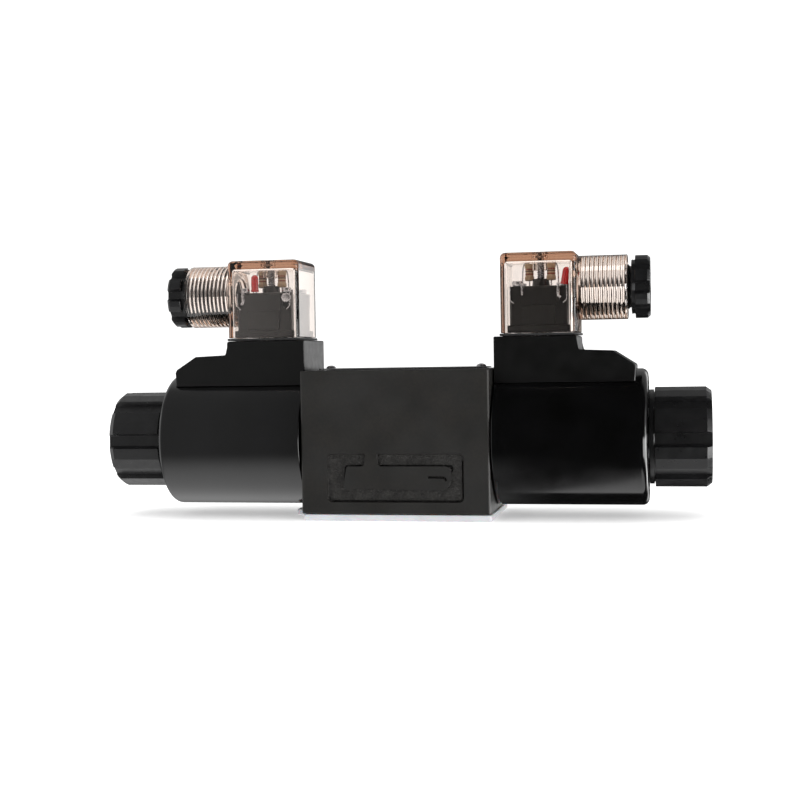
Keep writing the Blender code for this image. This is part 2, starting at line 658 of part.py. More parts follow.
def build_plug(side, frame, mats):
    build_plug_housing(side, frame, mats)
    build_terminal_block(side, frame, mats)
    build_gasket(side, frame, mats)
    head_start, head_end = SCREW_HEAD
    screw = ((SCREW_BOTTOM, SCREW_RADIUS), (head_start, SCREW_RADIUS), (head_start, SCREW_HEAD_RADIUS),
             (head_end, SCREW_HEAD_RADIUS))
    add_part("plug_screw_" + side, moved(upright(turned(screw, 10)), (PLUG_CENTRE, 0, 0)), mats["steel"], frame)
    lamp_u, lamp_v, foot = LAMPS[side]
    top = foot + LAMP_LENGTH
    lamp = turned(((foot, LAMP_RADIUS), (top - LAMP_DOME, LAMP_RADIUS), (top, LAMP_RADIUS / 2)), 10)
    lamp = moved(upright(lamp), (PLUG_CENTRE + lamp_u, lamp_v, 0))
    add_part("indicator_lamp_" + side, lamp, mats["red_lens"], frame)
    add_part("cable_seal_" + side, moved(ring(*CABLE_SEAL, 12), (0, 0, NECK_HEIGHT)), mats["rubber"], frame)


def build_gland_nut(side, frame, mats):
    lobes = lobed(GLAND_LOBE_RADIUS, GLAND_GROOVE_RADIUS)
    face = lobed(GLAND_LOBE_RADIUS - GLAND_CHAMFER, GLAND_GROOVE_RADIUS - GLAND_CHAMFER)
    head_start = NECK_END + GLAND_GAPS[side]
    shank_start = head_start - GLAND_SHANK_LENGTH
    outer = head_start + GLAND_HEAD_LENGTH
    levels = (
        (shank_start, GLAND_BORE_RADIUS), (shank_start, GLAND_SHANK_RADIUS), (head_start, GLAND_SHANK_RADIUS),
        (head_start, lobes), (outer - GLAND_CHAMFER, lobes), (outer, face), (outer, GLAND_BORE_RADIUS),
    )
    neck_axis = add_empty("gland_axis_" + side, (0, 0, NECK_HEIGHT), parent=frame)
    add_part("gland_nut_" + side, turned(levels, LOBES * POINTS_PER_LOBE, closed=True), mats["moulded_black"],
             neck_axis)


def build_solenoid(side, turn, mats):
    frame = add_empty("solenoid_axis_" + side, (0, 0, AXIS_HEIGHT), turn)
    build_core_tube(side, frame, mats)
    build_moving_train(side, frame, mats)
    build_coil(side, frame, mats)
    build_terminal_base(side, frame, mats)
    build_coil_nut(side, frame, mats)
    build_plug(side, frame, mats)
    build_gland_nut(side, frame, mats)


def main():
    clear_scene()
    mats = make_materials()
    build_valve_body(mats)
    build_cover_plate(mats)
    build_port_seals(mats)
    build_nameplate(mats)
    build_spool(mats)
    build_solenoid("right", 0.0, mats)
    build_solenoid("left", math.pi, mats)


main()
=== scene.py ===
import json
import math

import bmesh
import bpy
from mathutils import Matrix, Vector


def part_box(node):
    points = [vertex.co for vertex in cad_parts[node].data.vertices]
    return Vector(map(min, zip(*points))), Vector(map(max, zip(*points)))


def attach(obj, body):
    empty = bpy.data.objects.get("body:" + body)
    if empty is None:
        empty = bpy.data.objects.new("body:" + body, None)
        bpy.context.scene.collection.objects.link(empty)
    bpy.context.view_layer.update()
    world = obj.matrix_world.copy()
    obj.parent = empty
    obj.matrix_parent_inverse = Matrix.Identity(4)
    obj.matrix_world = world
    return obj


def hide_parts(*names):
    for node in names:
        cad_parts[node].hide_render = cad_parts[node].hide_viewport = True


# Looks of a solenoid directional valve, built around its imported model.
# Lengths are in millimetres until a mesh is finished. A solenoid's pieces are drawn once, for the right-hand
# side, in (u outward, v across, w above the spool axis), and the left-hand ones are those half a turn round.

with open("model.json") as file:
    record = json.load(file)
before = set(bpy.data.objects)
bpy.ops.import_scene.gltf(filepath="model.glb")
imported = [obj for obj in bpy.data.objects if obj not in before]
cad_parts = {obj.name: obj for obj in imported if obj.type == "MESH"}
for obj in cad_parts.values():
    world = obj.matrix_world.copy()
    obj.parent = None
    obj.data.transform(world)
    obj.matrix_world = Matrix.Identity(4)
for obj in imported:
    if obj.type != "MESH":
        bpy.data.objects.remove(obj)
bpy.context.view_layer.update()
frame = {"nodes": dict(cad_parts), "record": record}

MM = 0.001
ROUND = 128             # columns round a large turned piece
SMALL_ROUND = 48        # and round a small one
ARC = 4                 # steps round a corner
PLAY = 0.3              # running clearance
OVERCUT = 1.0           # how far a cutter runs past the face it opens
PORT_NAMES = "abpt"
SIDES = {"right": Matrix.Identity(4), "left": Matrix.Rotation(math.pi, 4, "Z")}


# ---- places, read from the frame

def box_mm(node):
    low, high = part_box(node)
    return low / MM, high / MM


def middle(node):
    low, high = box_mm(node)
    return (low + high) / 2


AXIS_HEIGHT = middle("core_tube_right").z


def side_box(node):
    """Corners (u, v, w) of a right-hand CAD node."""
    lift = Vector((0, 0, AXIS_HEIGHT))
    low, high = box_mm(node + "_right")
    return low - lift, high - lift


def bolt_places():
    """(x, y) of the record's openings over the bolt heads, in millimetres."""
    places = []
    for opening in frame["record"]["physics"]["openings"]:
        if opening["name"].startswith("bolt_head"):
            low, high = (Vector(corner) / MM for corner in opening["box_m"])
            places.append(((low.x + high.x) / 2, (low.y + high.y) / 2))
    return places


# ---- outlines

def rectangle(left, right, bottom, top):
    return [(left, bottom), (right, bottom), (right, top), (left, top)]


def rounded(corners, radius, steps=ARC):
    """Closed outline with its corners rounded. A corner is (x, y), or (x, y, a radius of its own)."""
    outline = []
    for index, corner in enumerate(corners):
        here = Vector(corner[:2])
        back = Vector(corners[index - 1][:2]) - here
        ahead = Vector(corners[(index + 1) % len(corners)][:2]) - here
        own = corner[2] if len(corner) > 2 else radius
        if own <= 0:
            outline.append(tuple(here))
            continue
        half = back.angle(ahead) / 2
        reach = min(own / math.tan(half), 0.48 * back.length, 0.48 * ahead.length)
        own = reach * math.tan(half)
        centre = here + (back.normalized() + ahead.normalized()).normalized() * (own / math.sin(half))
        first = here + back.normalized() * reach - centre
        last = here + ahead.normalized() * reach - centre
        start = math.atan2(first.y, first.x)
        sweep = (math.atan2(last.y, last.x) - start + math.pi) % math.tau - math.pi
        for step in range(steps + 1):
            angle = start + sweep * step / steps
            outline.append((centre.x + own * math.cos(angle), centre.y + own * math.sin(angle)))
    return outline


def bar_profile(low, high, radius, low_edge=0.0, high_edge=0.0, foot=None):
    """(along, radius) outline of a solid bar; foot is its radius at the low end, where that differs."""
    return rounded([(low, 0, 0), (high, 0, 0), (high, radius, high_edge), (low, foot or radius, low_edge)], 0)


def divided(outline, longest):
    """The same outline with its long edges cut into pieces no longer than longest."""
    points = []
    for index, point in enumerate(outline):
        here, ahead = Vector(point), Vector(outline[(index + 1) % len(outline)])
        count = max(1, math.ceil((ahead - here).length / longest))
        points += [tuple(here.lerp(ahead, step / count)) for step in range(count)]
    return points


def lobed_columns(outer, groove, half, floor, turn=0.0):
    """(angle, radius) round a nut with flat lobes and grooves; half and floor are half their widths."""
    corners = []
    for lobe in range(LOBES):
        centre = turn + math.tau * lobe / LOBES
        for offset, radius in ((-half, outer), (-floor, groove), (floor, groove), (half, outer),
                               (math.pi / LOBES, outer)):
            corners.append((radius * math.cos(centre + offset), radius * math.sin(centre + offset)))
    outline = divided(rounded(corners, LOBE_CORNER, 2), outer / 12)
    return [(math.atan2(y, x), math.hypot(x, y)) for x, y in outline]


# ---- meshes

WELD = 0.0005
BEVEL_STEPS = 3
CURVE_STEPS = 6


def skinned(rings, capped=True):
    """A skin over rings of equal count: closed by end faces, or from the last ring back to the first."""
    bm = bmesh.new()
    rings = [[bm.verts.new(spot) for spot in ring] for ring in rings]
    for ring, following in zip(rings, rings[1:] + ([] if capped else rings[:1])):
        for index in range(len(ring)):
            after = (index + 1) % len(ring)
            bm.faces.new((ring[index], ring[after], following[after], following[index]))
    if capped:
        bm.faces.new(rings[0])
        bm.faces.new(rings[-1])
    bmesh.ops.recalc_face_normals(bm, faces=bm.faces)
    return bm


def ring_about_u(along, radii):
    """Points round the u axis, one for each radius."""
    turns = [math.tau * column / len(radii) for column in range(len(radii))]
    return [(along, radius * math.cos(turn), radius * math.sin(turn)) for turn, radius in zip(turns, radii)]


def turned(profile, columns=ROUND, clip_from=-math.inf):
    """Closed (along, radius) outline turned about the u axis.

    columns is a count, or a list of (angle, greatest radius) that clips what lies beyond clip_from.
    """
    if isinstance(columns, int):
        columns = [(math.tau * index / columns, math.inf) for index in range(columns)]
    rings = []
    for angle, limit in columns:
        reaches = [min(radius, limit) if along >= clip_from else radius for along, radius in profile]
        rings.append([(point[0], reach * math.cos(angle), reach * math.sin(angle))
                      for point, reach in zip(profile, reaches)])
    bm = skinned(rings, capped=False)
    bmesh.ops.remove_doubles(bm, verts=bm.verts, dist=WELD)
    loose = [edge for edge in bm.edges if edge.is_wire]
    bmesh.ops.delete(bm, geom=loose, context="EDGES")
    bmesh.ops.recalc_face_normals(bm, faces=bm.faces)
    return bm


def ribs(start, end, floor, crest, pitch, corner=0.2):
    """(along, radius, corner radius) points of an even row of V ribs between two places."""
    count = round((end - start) / pitch)
    step = (end - start) / count
    points = [(start + (index + half / 2) * step, crest if half else floor, corner)
              for index in range(count) for half in (0, 1)]
    return points + [(end, floor, corner)]


def bushing(start, end, inner, outer, edge=0.2, columns=SMALL_ROUND):
    """A ring about the u axis with rounded rims."""
    return turned(rounded(rectangle(start, end, inner, outer), edge), columns)


def pin(start, end, radius, edge=0.2, columns=SMALL_ROUND):
    """A solid round bar about the u axis with rounded ends."""
    return turned(bar_profile(start, end, radius, edge, edge), columns)


def threaded(start, end, core, crest, pitch, columns, rows=6):
    """A bar about the u axis with a helical V thread that fades out at its ends."""
    count = round((end - start) / pitch * rows)
    rings = []
    for step in range(count + 1):
        along = start + (end - start) * step / count
        rise = (crest - core) * min(1.0, step / rows, (count - step) / rows)
        phases = [(along / pitch - column / columns) % 1 for column in range(columns)]
        rings.append(ring_about_u(along, [core + rise * (1 - abs(2 * phase - 1)) for phase in phases]))
    return skinned(rings)


def stack(levels, plane):
    """A solid through outlines of equal count in plane "uv", "uw" or "vw", each with its depth across it."""
    first, second = ("uvw".index(letter) for letter in plane)
    rings = []
    for outline, depth in levels:
        ring = []
        for point in outline:
            spot = [depth, depth, depth]
            spot[first], spot[second] = point
            ring.append(spot)
        rings.append(ring)
    return skinned(rings)


def slab(outline, plane, low, high, edge=0.0):
    """An outline in a plane, extruded across it, with rounded rims."""
    first, second = ("uvw".index(letter) for letter in plane)
    bm = bmesh.new()
    caps = []
    for depth in (low, high):
        cap = []
        for point in outline:
            spot = [depth, depth, depth]
            spot[first], spot[second] = point
            cap.append(bm.verts.new(spot))
        caps.append(cap)
    ends = [bm.faces.new(cap) for cap in caps]
    for index in range(len(outline)):
        after = (index + 1) % len(outline)
        bm.faces.new((caps[0][index], caps[0][after], caps[1][after], caps[1][index]))
    if edge > 0:
        rims = {rim for face in ends for rim in face.edges}
        bmesh.ops.bevel(bm, geom=list(rims), offset=edge, offset_type="OFFSET", segments=BEVEL_STEPS,
                        profile=0.5, affect="EDGES", clamp_overlap=True)
    bmesh.ops.recalc_face_normals(bm, faces=bm.faces)
    return bm


def smooth_path(points):
    """Catmull-Rom curve through the points."""
    ends = [points[0] * 2 - points[1]] + points + [points[-1] * 2 - points[-2]]
    path = []
    for index in range(1, len(ends) - 2):
        before, here, ahead, beyond = ends[index - 1:index + 3]
        for step in range(CURVE_STEPS):
            t = step / CURVE_STEPS
            square_term = (2 * before - 5 * here + 4 * ahead - beyond) * t ** 2
            cube_term = (3 * here - before - 3 * ahead + beyond) * t ** 3
            path.append(0.5 * (2 * here + (ahead - before) * t + square_term + cube_term))
    path.append(points[-1])
    return path


def wire(points, radius, columns, flat=1.0):
    """A closed tube along points; flat below 1 squeezes it across into a strip."""
    path = smooth_path([Vector(point) for point in points])
    rings = []
    side = None
    for index, here in enumerate(path):
        ahead = path[min(index + 1, len(path) - 1)] - path[max(index - 1, 0)]
        ahead.normalize()
        guide = side if side else Vector((0, 1, 0) if abs(ahead.y) < 0.8 else (1, 0, 0))
        side = (guide - ahead * guide.dot(ahead)).normalized()
        up = ahead.cross(side) * flat
        rings.append([here + side * y + up * z for _, y, z in ring_about_u(0, [radius] * columns)])
    return skinned(rings)


def upright(bm):
    """Stand a mesh drawn about u on its end, so that it runs along w."""
    bmesh.ops.rotate(bm, verts=bm.verts, matrix=Matrix.Rotation(-math.pi / 2, 3, "Y"))
    return bm


def crosswise(bm):
    """Turn a mesh drawn about u so that it runs along v."""
    bmesh.ops.rotate(bm, verts=bm.verts, matrix=Matrix.Rotation(math.pi / 2, 3, "Z"))
    return bm


def moved(bm, u=0.0, v=0.0, w=0.0):
    bmesh.ops.translate(bm, verts=bm.verts, vec=(u, v, w))
    return bm


def hole(x, y, profile):
    """Upright turned cutter at x, y from an outline of (height, radius) points."""
    return moved(upright(turned(profile, SMALL_ROUND)), x, y)


def drilled(x, low, high, radius):
    """Plain upright round cutter on the line v = 0."""
    return hole(x, 0, [(low, 0), (high, 0), (high, radius), (low, radius)])


def ring_outline(centre, mean, section, steps):
    """(along, radius) circle, the section of an O-ring."""
    turns = [math.tau * step / steps for step in range(steps)]
    return [(centre + section * math.sin(turn), mean + section * math.cos(turn)) for turn in turns]


def dome(base, rise, radius, step):
    """(height, radius) points up a quarter of an oval, from its rim to near its top."""
    turns = [math.radians(turn) for turn in range(0, 90, step)]
    return [(base + rise * math.sin(turn), radius * math.cos(turn)) for turn in turns]


def together(*meshes):
    """One mesh out of several that may stand apart."""
    joined = bmesh.new()
    for bm in meshes:
        part = bpy.data.meshes.new("part")
        bm.to_mesh(part)
        bm.free()
        joined.from_mesh(part)
        bpy.data.meshes.remove(part)
    return joined


# ---- pieces

def draft(name, bm):
    mesh = bpy.data.meshes.new(name)
    bm.to_mesh(mesh)
    bm.free()
    thing = bpy.data.objects.new(name, mesh)
    bpy.context.scene.collection.objects.link(thing)
    return thing


def shaped(thing, operation, *tools):
    """Cut each tool out of the draft, or join it on, at once."""
    for bm in tools:
        tool = draft("tool", bm)
        modifier = thing.modifiers.new("shape", "BOOLEAN")
        modifier.operation = operation
        modifier.solver = "EXACT"
        modifier.object = tool
        evaluated = thing.evaluated_get(bpy.context.evaluated_depsgraph_get())
        mesh = bpy.data.meshes.new_from_object(evaluated)
        thing.modifiers.clear()
        thing.data = mesh
        bpy.data.objects.remove(tool)


def cut(thing, *tools):
    shaped(thing, "DIFFERENCE", *tools)


def join(thing, *tools):
    shaped(thing, "UNION", *tools)


SHARP_ANGLE = math.radians(32.0)


def finished(thing, material, lift=0.0):
    """From millimetres to metres, with smooth shading and a material."""
    thing.data.transform(Matrix.Scale(MM, 4) @ Matrix.Translation((0, 0, lift)))
    thing.data.materials.clear()
    thing.data.materials.append(material)
    thing.data.shade_smooth()
    thing.data.set_sharp_from_angle(angle=SHARP_ANGLE)
    thing.modifiers.new("normals", "WEIGHTED_NORMAL").keep_sharp = True


def settle(thing, material, body, slot, *nodes):
    """Finish a central piece and tie it to the frame."""
    finished(thing, material)
    tie(thing, body, nodes)


def tie(thing, body, nodes):
    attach(thing, body)
    if nodes:
        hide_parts(*nodes)


def settle_both(thing, material, body, slot, *nodes):
    """Finish a right-hand piece, make its left-hand twin and tie both to the frame.

    body and nodes are names without their side; the body "valve" has none.
    """
    name = thing.name
    thing.name = name + "_right"
    finished(thing, material, AXIS_HEIGHT)
    twin = thing.copy()
    twin.data = thing.data.copy()
    twin.name = name + "_left"
    bpy.context.scene.collection.objects.link(twin)
    for side, piece in (("right", thing), ("left", twin)):
        settle_side(piece, side, body, nodes)
    return twin


def settle_side(piece, side, body, nodes):
    piece.matrix_world = SIDES[side]
    body = body if body == "valve" else f"{body}_{side}"
    tie(piece, body, [f"{node}_{side}" for node in nodes])


# ---- materials

def linear(*levels):
    """Linear colour from display levels between 0 and 255."""
    values = [level / 255 for level in levels]
    return tuple(v / 12.92 if v <= 0.04045 else ((v + 0.055) / 1.055) ** 2.4 for v in values)


def new_node(nodes, kind, **values):
    """A node with the given socket values, its sockets named with _ for a space."""
    node = nodes.new(kind)
    for socket, value in values.items():
        node.inputs[socket.replace("_", " ")].default_value = value
    return node


class Finish:
    """A Principled material and short ways to add procedural detail to it, in object space.

    A noise is (feature size in millimetres, detail), with an optional stretch along x, y and z.
    """

    def __init__(self, name, colour, roughness, metallic=0.0, **sockets):
        self.material = bpy.data.materials.new(name)
        self.material.use_nodes = True
        self.nodes = self.material.node_tree.nodes
        self.links = self.material.node_tree.links
        self.shader = self.nodes["Principled BSDF"]
        self.colour = colour
        self.roughness = roughness
        sockets.update(Base_Color=(*colour, 1), Roughness=roughness, Metallic=metallic)
        for socket, value in sockets.items():
            self.shader.inputs[socket.replace("_", " ")].default_value = value
        self.place = self.nodes.new("ShaderNodeTexCoord").outputs["Object"]
        self.height = None

    def noise(self, size, detail, stretch=(1, 1, 1)):
        scale = [1 / (size * MM * axis) for axis in stretch]
        mapping = new_node(self.nodes, "ShaderNodeMapping", Scale=scale)
        texture = new_node(self.nodes, "ShaderNodeTexNoise", Scale=1.0, Detail=detail)
        self.links.new(self.place, mapping.inputs["Vector"])
        self.links.new(mapping.outputs["Vector"], texture.inputs["Vector"])
        return texture.outputs["Fac"]

    def spread(self, noise, low, high, narrow=0.0):
        """Map a noise's middle range to low..high."""
        span = new_node(self.nodes, "ShaderNodeMapRange", From_Min=0.3 + narrow, From_Max=0.7 - narrow,
                        To_Min=low, To_Max=high)
        self.links.new(self.noise(*noise), span.inputs["Value"])
        return span.outputs["Result"]

    def tint(self, noise, other, strength, narrow=0.0):
        """Blend towards another colour where the noise is high."""
        mix = self.nodes.new("ShaderNodeMix")
        mix.data_type = "RGBA"
        source = self.shader.inputs["Base Color"]
        if source.links:
            self.links.new(source.links[0].from_socket, mix.inputs["A"])
        else:
            mix.inputs["A"].default_value = (*self.colour, 1)
        mix.inputs["B"].default_value = (*other, 1)
        self.links.new(self.spread(noise, 0.0, strength, narrow), mix.inputs["Factor"])
        self.links.new(mix.outputs["Result"], source)

    def gloss(self, noise, change):
        """Vary the roughness by the noise, by change either way."""
        result = self.spread(noise, self.roughness - change, self.roughness + change)
        self.links.new(result, self.shader.inputs["Roughness"])

    def bump(self, noise, depth, strength):
        """Raise the surface by up to depth millimetres where the noise is high."""
        node = new_node(self.nodes, "ShaderNodeBump", Strength=strength, Distance=depth * MM)
        self.links.new(self.noise(*noise), node.inputs["Height"])
        if self.height:
            self.links.new(self.height, node.inputs["Normal"])
        self.height = node.outputs["Normal"]
        self.links.new(self.height, self.shader.inputs["Normal"])

    def volume(self, colour, density):
        node = new_node(self.nodes, "ShaderNodeVolumeAbsorption", Color=(*colour, 1), Density=density)
        self.links.new(node.outputs["Volume"], self.nodes["Material Output"].inputs["Volume"])


def made(name, colour, roughness, metallic=0.0, tints=(), gloss=None, bumps=(), **sockets):
    """A material from its base and the arguments of its tints, its gloss and its bumps."""
    finish = Finish(name, colour, roughness, metallic, **sockets)
    for tint in tints:
        finish.tint(*tint)
    if gloss:
        finish.gloss(*gloss)
    for bump in bumps:
        finish.bump(*bump)
    return finish.material


def metal(name, colour, other, roughness, grain=(1, 1, 1)):
    return made(name, colour, roughness, 1.0, [((1.5, 4, grain), other, 0.8)], ((0.8, 4, grain), 0.08),
                [((0.25, 3, grain), 0.006, 0.4)])


def glossy(name, colour, other, roughness=0.34, **sockets):
    """A plain coloured plastic, lacquer or ceramic with faint unevenness."""
    return made(name, colour, roughness, 0.0, [((1.2, 3), other, 0.7)], ((1.0, 3), 0.06),
                [((0.3, 2), 0.006, 0.4)], **sockets)


def clear_plastic():
    """Clear polycarbonate that looks amber where it is seen through its length."""
    clear = Finish("clear_polycarbonate", (0.985, 0.97, 0.96), 0.035, Transmission_Weight=1.0, IOR=1.57)
    clear.gloss((6, 2), 0.02)
    clear.bump((9, 2), 0.03, 0.12)
    clear.volume((0.61, 0.38, 0.21), 100.0)
    return clear.material


# Phosphated cast iron: dark, a little brown, with a fine grain and faint mottling.
IRON = made("phosphated_iron", linear(38, 37, 35), 0.46, 0.25, Specular_IOR_Level=0.45,
            tints=[((9, 5), linear(47, 44, 40), 0.8), ((1.1, 3), linear(30, 30, 30), 0.5),
                   ((26, 2), linear(50, 50, 50), 0.35, 0.08)],
            gloss=((5, 4), 0.06), bumps=[((0.35, 3), 0.02, 0.5), ((6, 2), 0.05, 0.35)])
# The same casting where it was left as cast.
ROUGH_IRON = made("as_cast_iron", linear(38, 36, 34), 0.6, 0.2, Specular_IOR_Level=0.4,
                  tints=[((0.8, 5), linear(60, 59, 57), 0.9), ((3, 4), linear(24, 23, 22), 0.7)],
                  bumps=[((0.9, 6), 0.55, 1.0), ((0.3, 4), 0.08, 0.8)])
# The mounting face under the ports, ground flat and bare.
GROUND_IRON = made("ground_iron", linear(150, 148, 145), 0.28, 1.0,
                   tints=[((1.2, 4, (40, 1, 1)), linear(120, 118, 115), 0.8)],
                   gloss=((0.4, 3, (60, 1, 1)), 0.08), bumps=[((0.25, 3, (80, 1, 1)), 0.01, 0.4)])
# Glossy moulded coil case with a slightly uneven skin.
COIL_BLACK = made("coil_black", linear(3, 3, 3), 0.13, Specular_IOR_Level=0.6,
                  tints=[((14, 3), linear(8, 8, 9), 0.8)], gloss=((16, 3), 0.04),
                  bumps=[((0.25, 2), 0.004, 0.3)])
# Satin moulding of the terminal base and block.
MOULDED_BLACK = made("moulded_black", linear(5, 5, 5), 0.34, Specular_IOR_Level=0.5,
                     tints=[((7, 3), linear(10, 10, 10), 0.7)], gloss=((4, 3), 0.06),
                     bumps=[((0.3, 3), 0.012, 0.5)])
# Semi-gloss glass-filled nylon.
NUT_NYLON = made("nut_nylon", linear(16, 16, 17), 0.33, Specular_IOR_Level=0.55,
                 tints=[((4, 4), linear(24, 24, 25), 0.7)], gloss=((3, 4), 0.07),
                 bumps=[((0.22, 3), 0.012, 0.5), ((2.5, 3, (3, 1, 1)), 0.03, 0.2)])
RUBBER = made("rubber", linear(34, 34, 35), 0.62, Specular_IOR_Level=0.35,
              tints=[((2, 4), linear(46, 46, 46), 0.7)], gloss=((1, 3), 0.08), bumps=[((0.2, 3), 0.01, 0.5)])
CLEAR = clear_plastic()
# Milky white polyethylene.
COVER = made("milky_polyethylene", linear(214, 215, 218), 0.42,
             Subsurface_Weight=0.35, Subsurface_Scale=0.002,
             tints=[((8, 3), linear(196, 198, 202), 0.8)], gloss=((3, 3), 0.07),
             bumps=[((0.5, 3), 0.015, 0.5)])
BRUSHED = metal("brushed_aluminium", linear(196, 196, 198), linear(170, 170, 172), 0.34, (30, 1, 1))
STEEL = metal("zinc_plated_steel", linear(190, 190, 192), linear(158, 158, 162), 0.26)
GROUND_STEEL = metal("ground_steel", linear(150, 150, 153), linear(126, 126, 130), 0.24, (1, 8, 8))
SPRING_STEEL = metal("spring_steel", linear(120, 120, 126), linear(92, 92, 98), 0.32)
BRASS = metal("brass", linear(205, 170, 96), linear(176, 140, 74), 0.28)
BLADE_METAL = metal("tinned_blade", linear(204, 202, 196), linear(172, 170, 164), 0.3, (1, 1, 10))
COPPER = metal("enamelled_copper", linear(176, 92, 50), linear(140, 66, 34), 0.3, (1, 30, 30))
BOBBIN = glossy("bobbin_nylon", linear(206, 198, 176), linear(190, 180, 156), 0.45)
RED_LENS = glossy("red_lens", linear(226, 20, 24), linear(205, 10, 14), 0.16, Coat_Weight=0.4)
INK = glossy("black_ink", linear(30, 30, 32), linear(44, 44, 46), 0.5)
RESISTOR = glossy("resistor_lacquer", linear(205, 178, 146), linear(190, 158, 124))
BAND_RED = glossy("band_red", linear(150, 52, 40), linear(128, 40, 32))
BAND_BROWN = glossy("band_brown", linear(92, 58, 38), linear(76, 46, 30))


# ---- valve body and what is fixed to it

BODY_EDGE = 0.45
BODY_CORNER = 0.9
RIVET_HOLE = 1.3
RIVET_DOME = 0.8
MOUTH = 0.35                     # countersink at the mouth of each hole
COUNTERBORE_RADIUS = 4.75
COUNTERBORE_DEPTH = 10.0
BOLT_RADIUS = 2.75
PORT_RADIUS = 3.5
PORT_DEPTH = 11.0
SEAL_SEAT_PLAY = 0.4
BORE_CHAMBERS = ((-21.5, -16.5), (-12.0, -7.0), (-3.0, 3.0), (7.0, 12.0), (16.5, 21.5))
CHAMBER_DEPTH = 2.7
THREAD_START = 25.0
THREAD_STEP = 2.45               # from the armature's radius to the threaded bore's

# Label pocket in the front face, measured from the body's middle and its underside.
POCKET_CENTRE = (0.1, 13.2)
POCKET_SIZE = (50.6, 17.4)
POCKET_DEPTH = 1.1
POCKET_CORNER = 1.6
POCKET_WALL = ((-1.0, 0.55), (0.0, 0.25), (0.495, 0.08), (0.88, -0.02), (1.1, -0.2))   # (depth, flare)
PANEL_MARGINS = (6.2, 4.6, 4.4, 4.2)      # left, right, top, bottom
PANEL_BRIDGE = (8.0, 12.6)
CREASE_DEPTH = 1.5
CREASE_WIDTH = 0.75
SLOT_WIRE = (1.2, 8, 0.38)                # radius, columns, flatness


def bore_cutter(half_length):
    """The spool bore with its ring chambers, and the seats of the two core tubes."""
    bore = box_mm("spool")[1].y + PLAY
    seat = side_box("core_tube")[1].y + 0.6
    seat_start = side_box("tube_seal")[0].x - PLAY
    half = []
    for start, end in BORE_CHAMBERS:
        if end > 0:
            inner = max(start, 0.0)
            if inner > 0:
                half.append((inner, bore))
            half += [(inner, bore + CHAMBER_DEPTH), (end, bore + CHAMBER_DEPTH), (end, bore)]
    thread = side_box("armature")[1].y + THREAD_STEP
    half += [(THREAD_START, bore), (THREAD_START, thread), (seat_start, thread), (seat_start, seat),
             (half_length - MOUTH, seat), (half_length + 1, seat + 1 + MOUTH)]
    profile = [(-along, radius) for along, radius in reversed(half) if along > 0]
    profile += [point for point in half if point[0] > 0]
    ends = [(half_length + 1, 0), (-half_length - 1, 0)]
    return moved(turned(profile + ends, SMALL_ROUND), w=AXIS_HEIGHT)


def bolt_holes(low, high):
    floor = high - COUNTERBORE_DEPTH
    profile = [(low - 1, 0), (high + 1, 0), (high + 1, COUNTERBORE_RADIUS + 1 + MOUTH),
               (high - MOUTH, COUNTERBORE_RADIUS), (floor, COUNTERBORE_RADIUS), (floor - 0.5, BOLT_RADIUS),
               (low + MOUTH, BOLT_RADIUS), (low - 1, BOLT_RADIUS + 1 + MOUTH)]
    return [hole(x, y, profile) for x, y in bolt_places()]


def port_holes(low):
    cutters = []
    for port in PORT_NAMES:
        seal_low, seal_high = box_mm("port_seal_" + port)
        centre = middle("port_seal_" + port)
        seat = (seal_high.x - seal_low.x) / 2 + SEAL_SEAT_PLAY
        roof = seal_high.z + SEAL_SEAT_PLAY / 2
        cutters.append(hole(centre.x, centre.y, [
            (low - 1, 0), (low + PORT_DEPTH, 0), (low + PORT_DEPTH - 1.5, PORT_RADIUS), (roof, PORT_RADIUS),
            (roof, seat), (low + 0.15, seat), (low - 1, seat + 1.15)]))
    return cutters


def rivet_holes(low, high):
    return [drilled(middle("rivet_" + side).x, low, high, RIVET_HOLE) for side in SIDES]


def crease(start, corner, end, radius):
    """Outline of a narrow groove that runs from start round a corner to end."""
    start, corner, end = Vector(start), Vector(corner), Vector(end)
    first = (corner - start).orthogonal().normalized() * CREASE_WIDTH / 2
    last = (end - corner).orthogonal().normalized() * CREASE_WIDTH / 2
    inward = 1 if first.dot(end - corner) > 0 else -1
    outer, inner = radius + CREASE_WIDTH / 2, radius - CREASE_WIDTH / 2
    bend = first + last
    points = [start + first, (*(corner + bend), inner if inward > 0 else outer), end + last,
              end - last, (*(corner - bend), outer if inward > 0 else inner), start - first]
    return rounded([tuple(point) for point in points], 0)


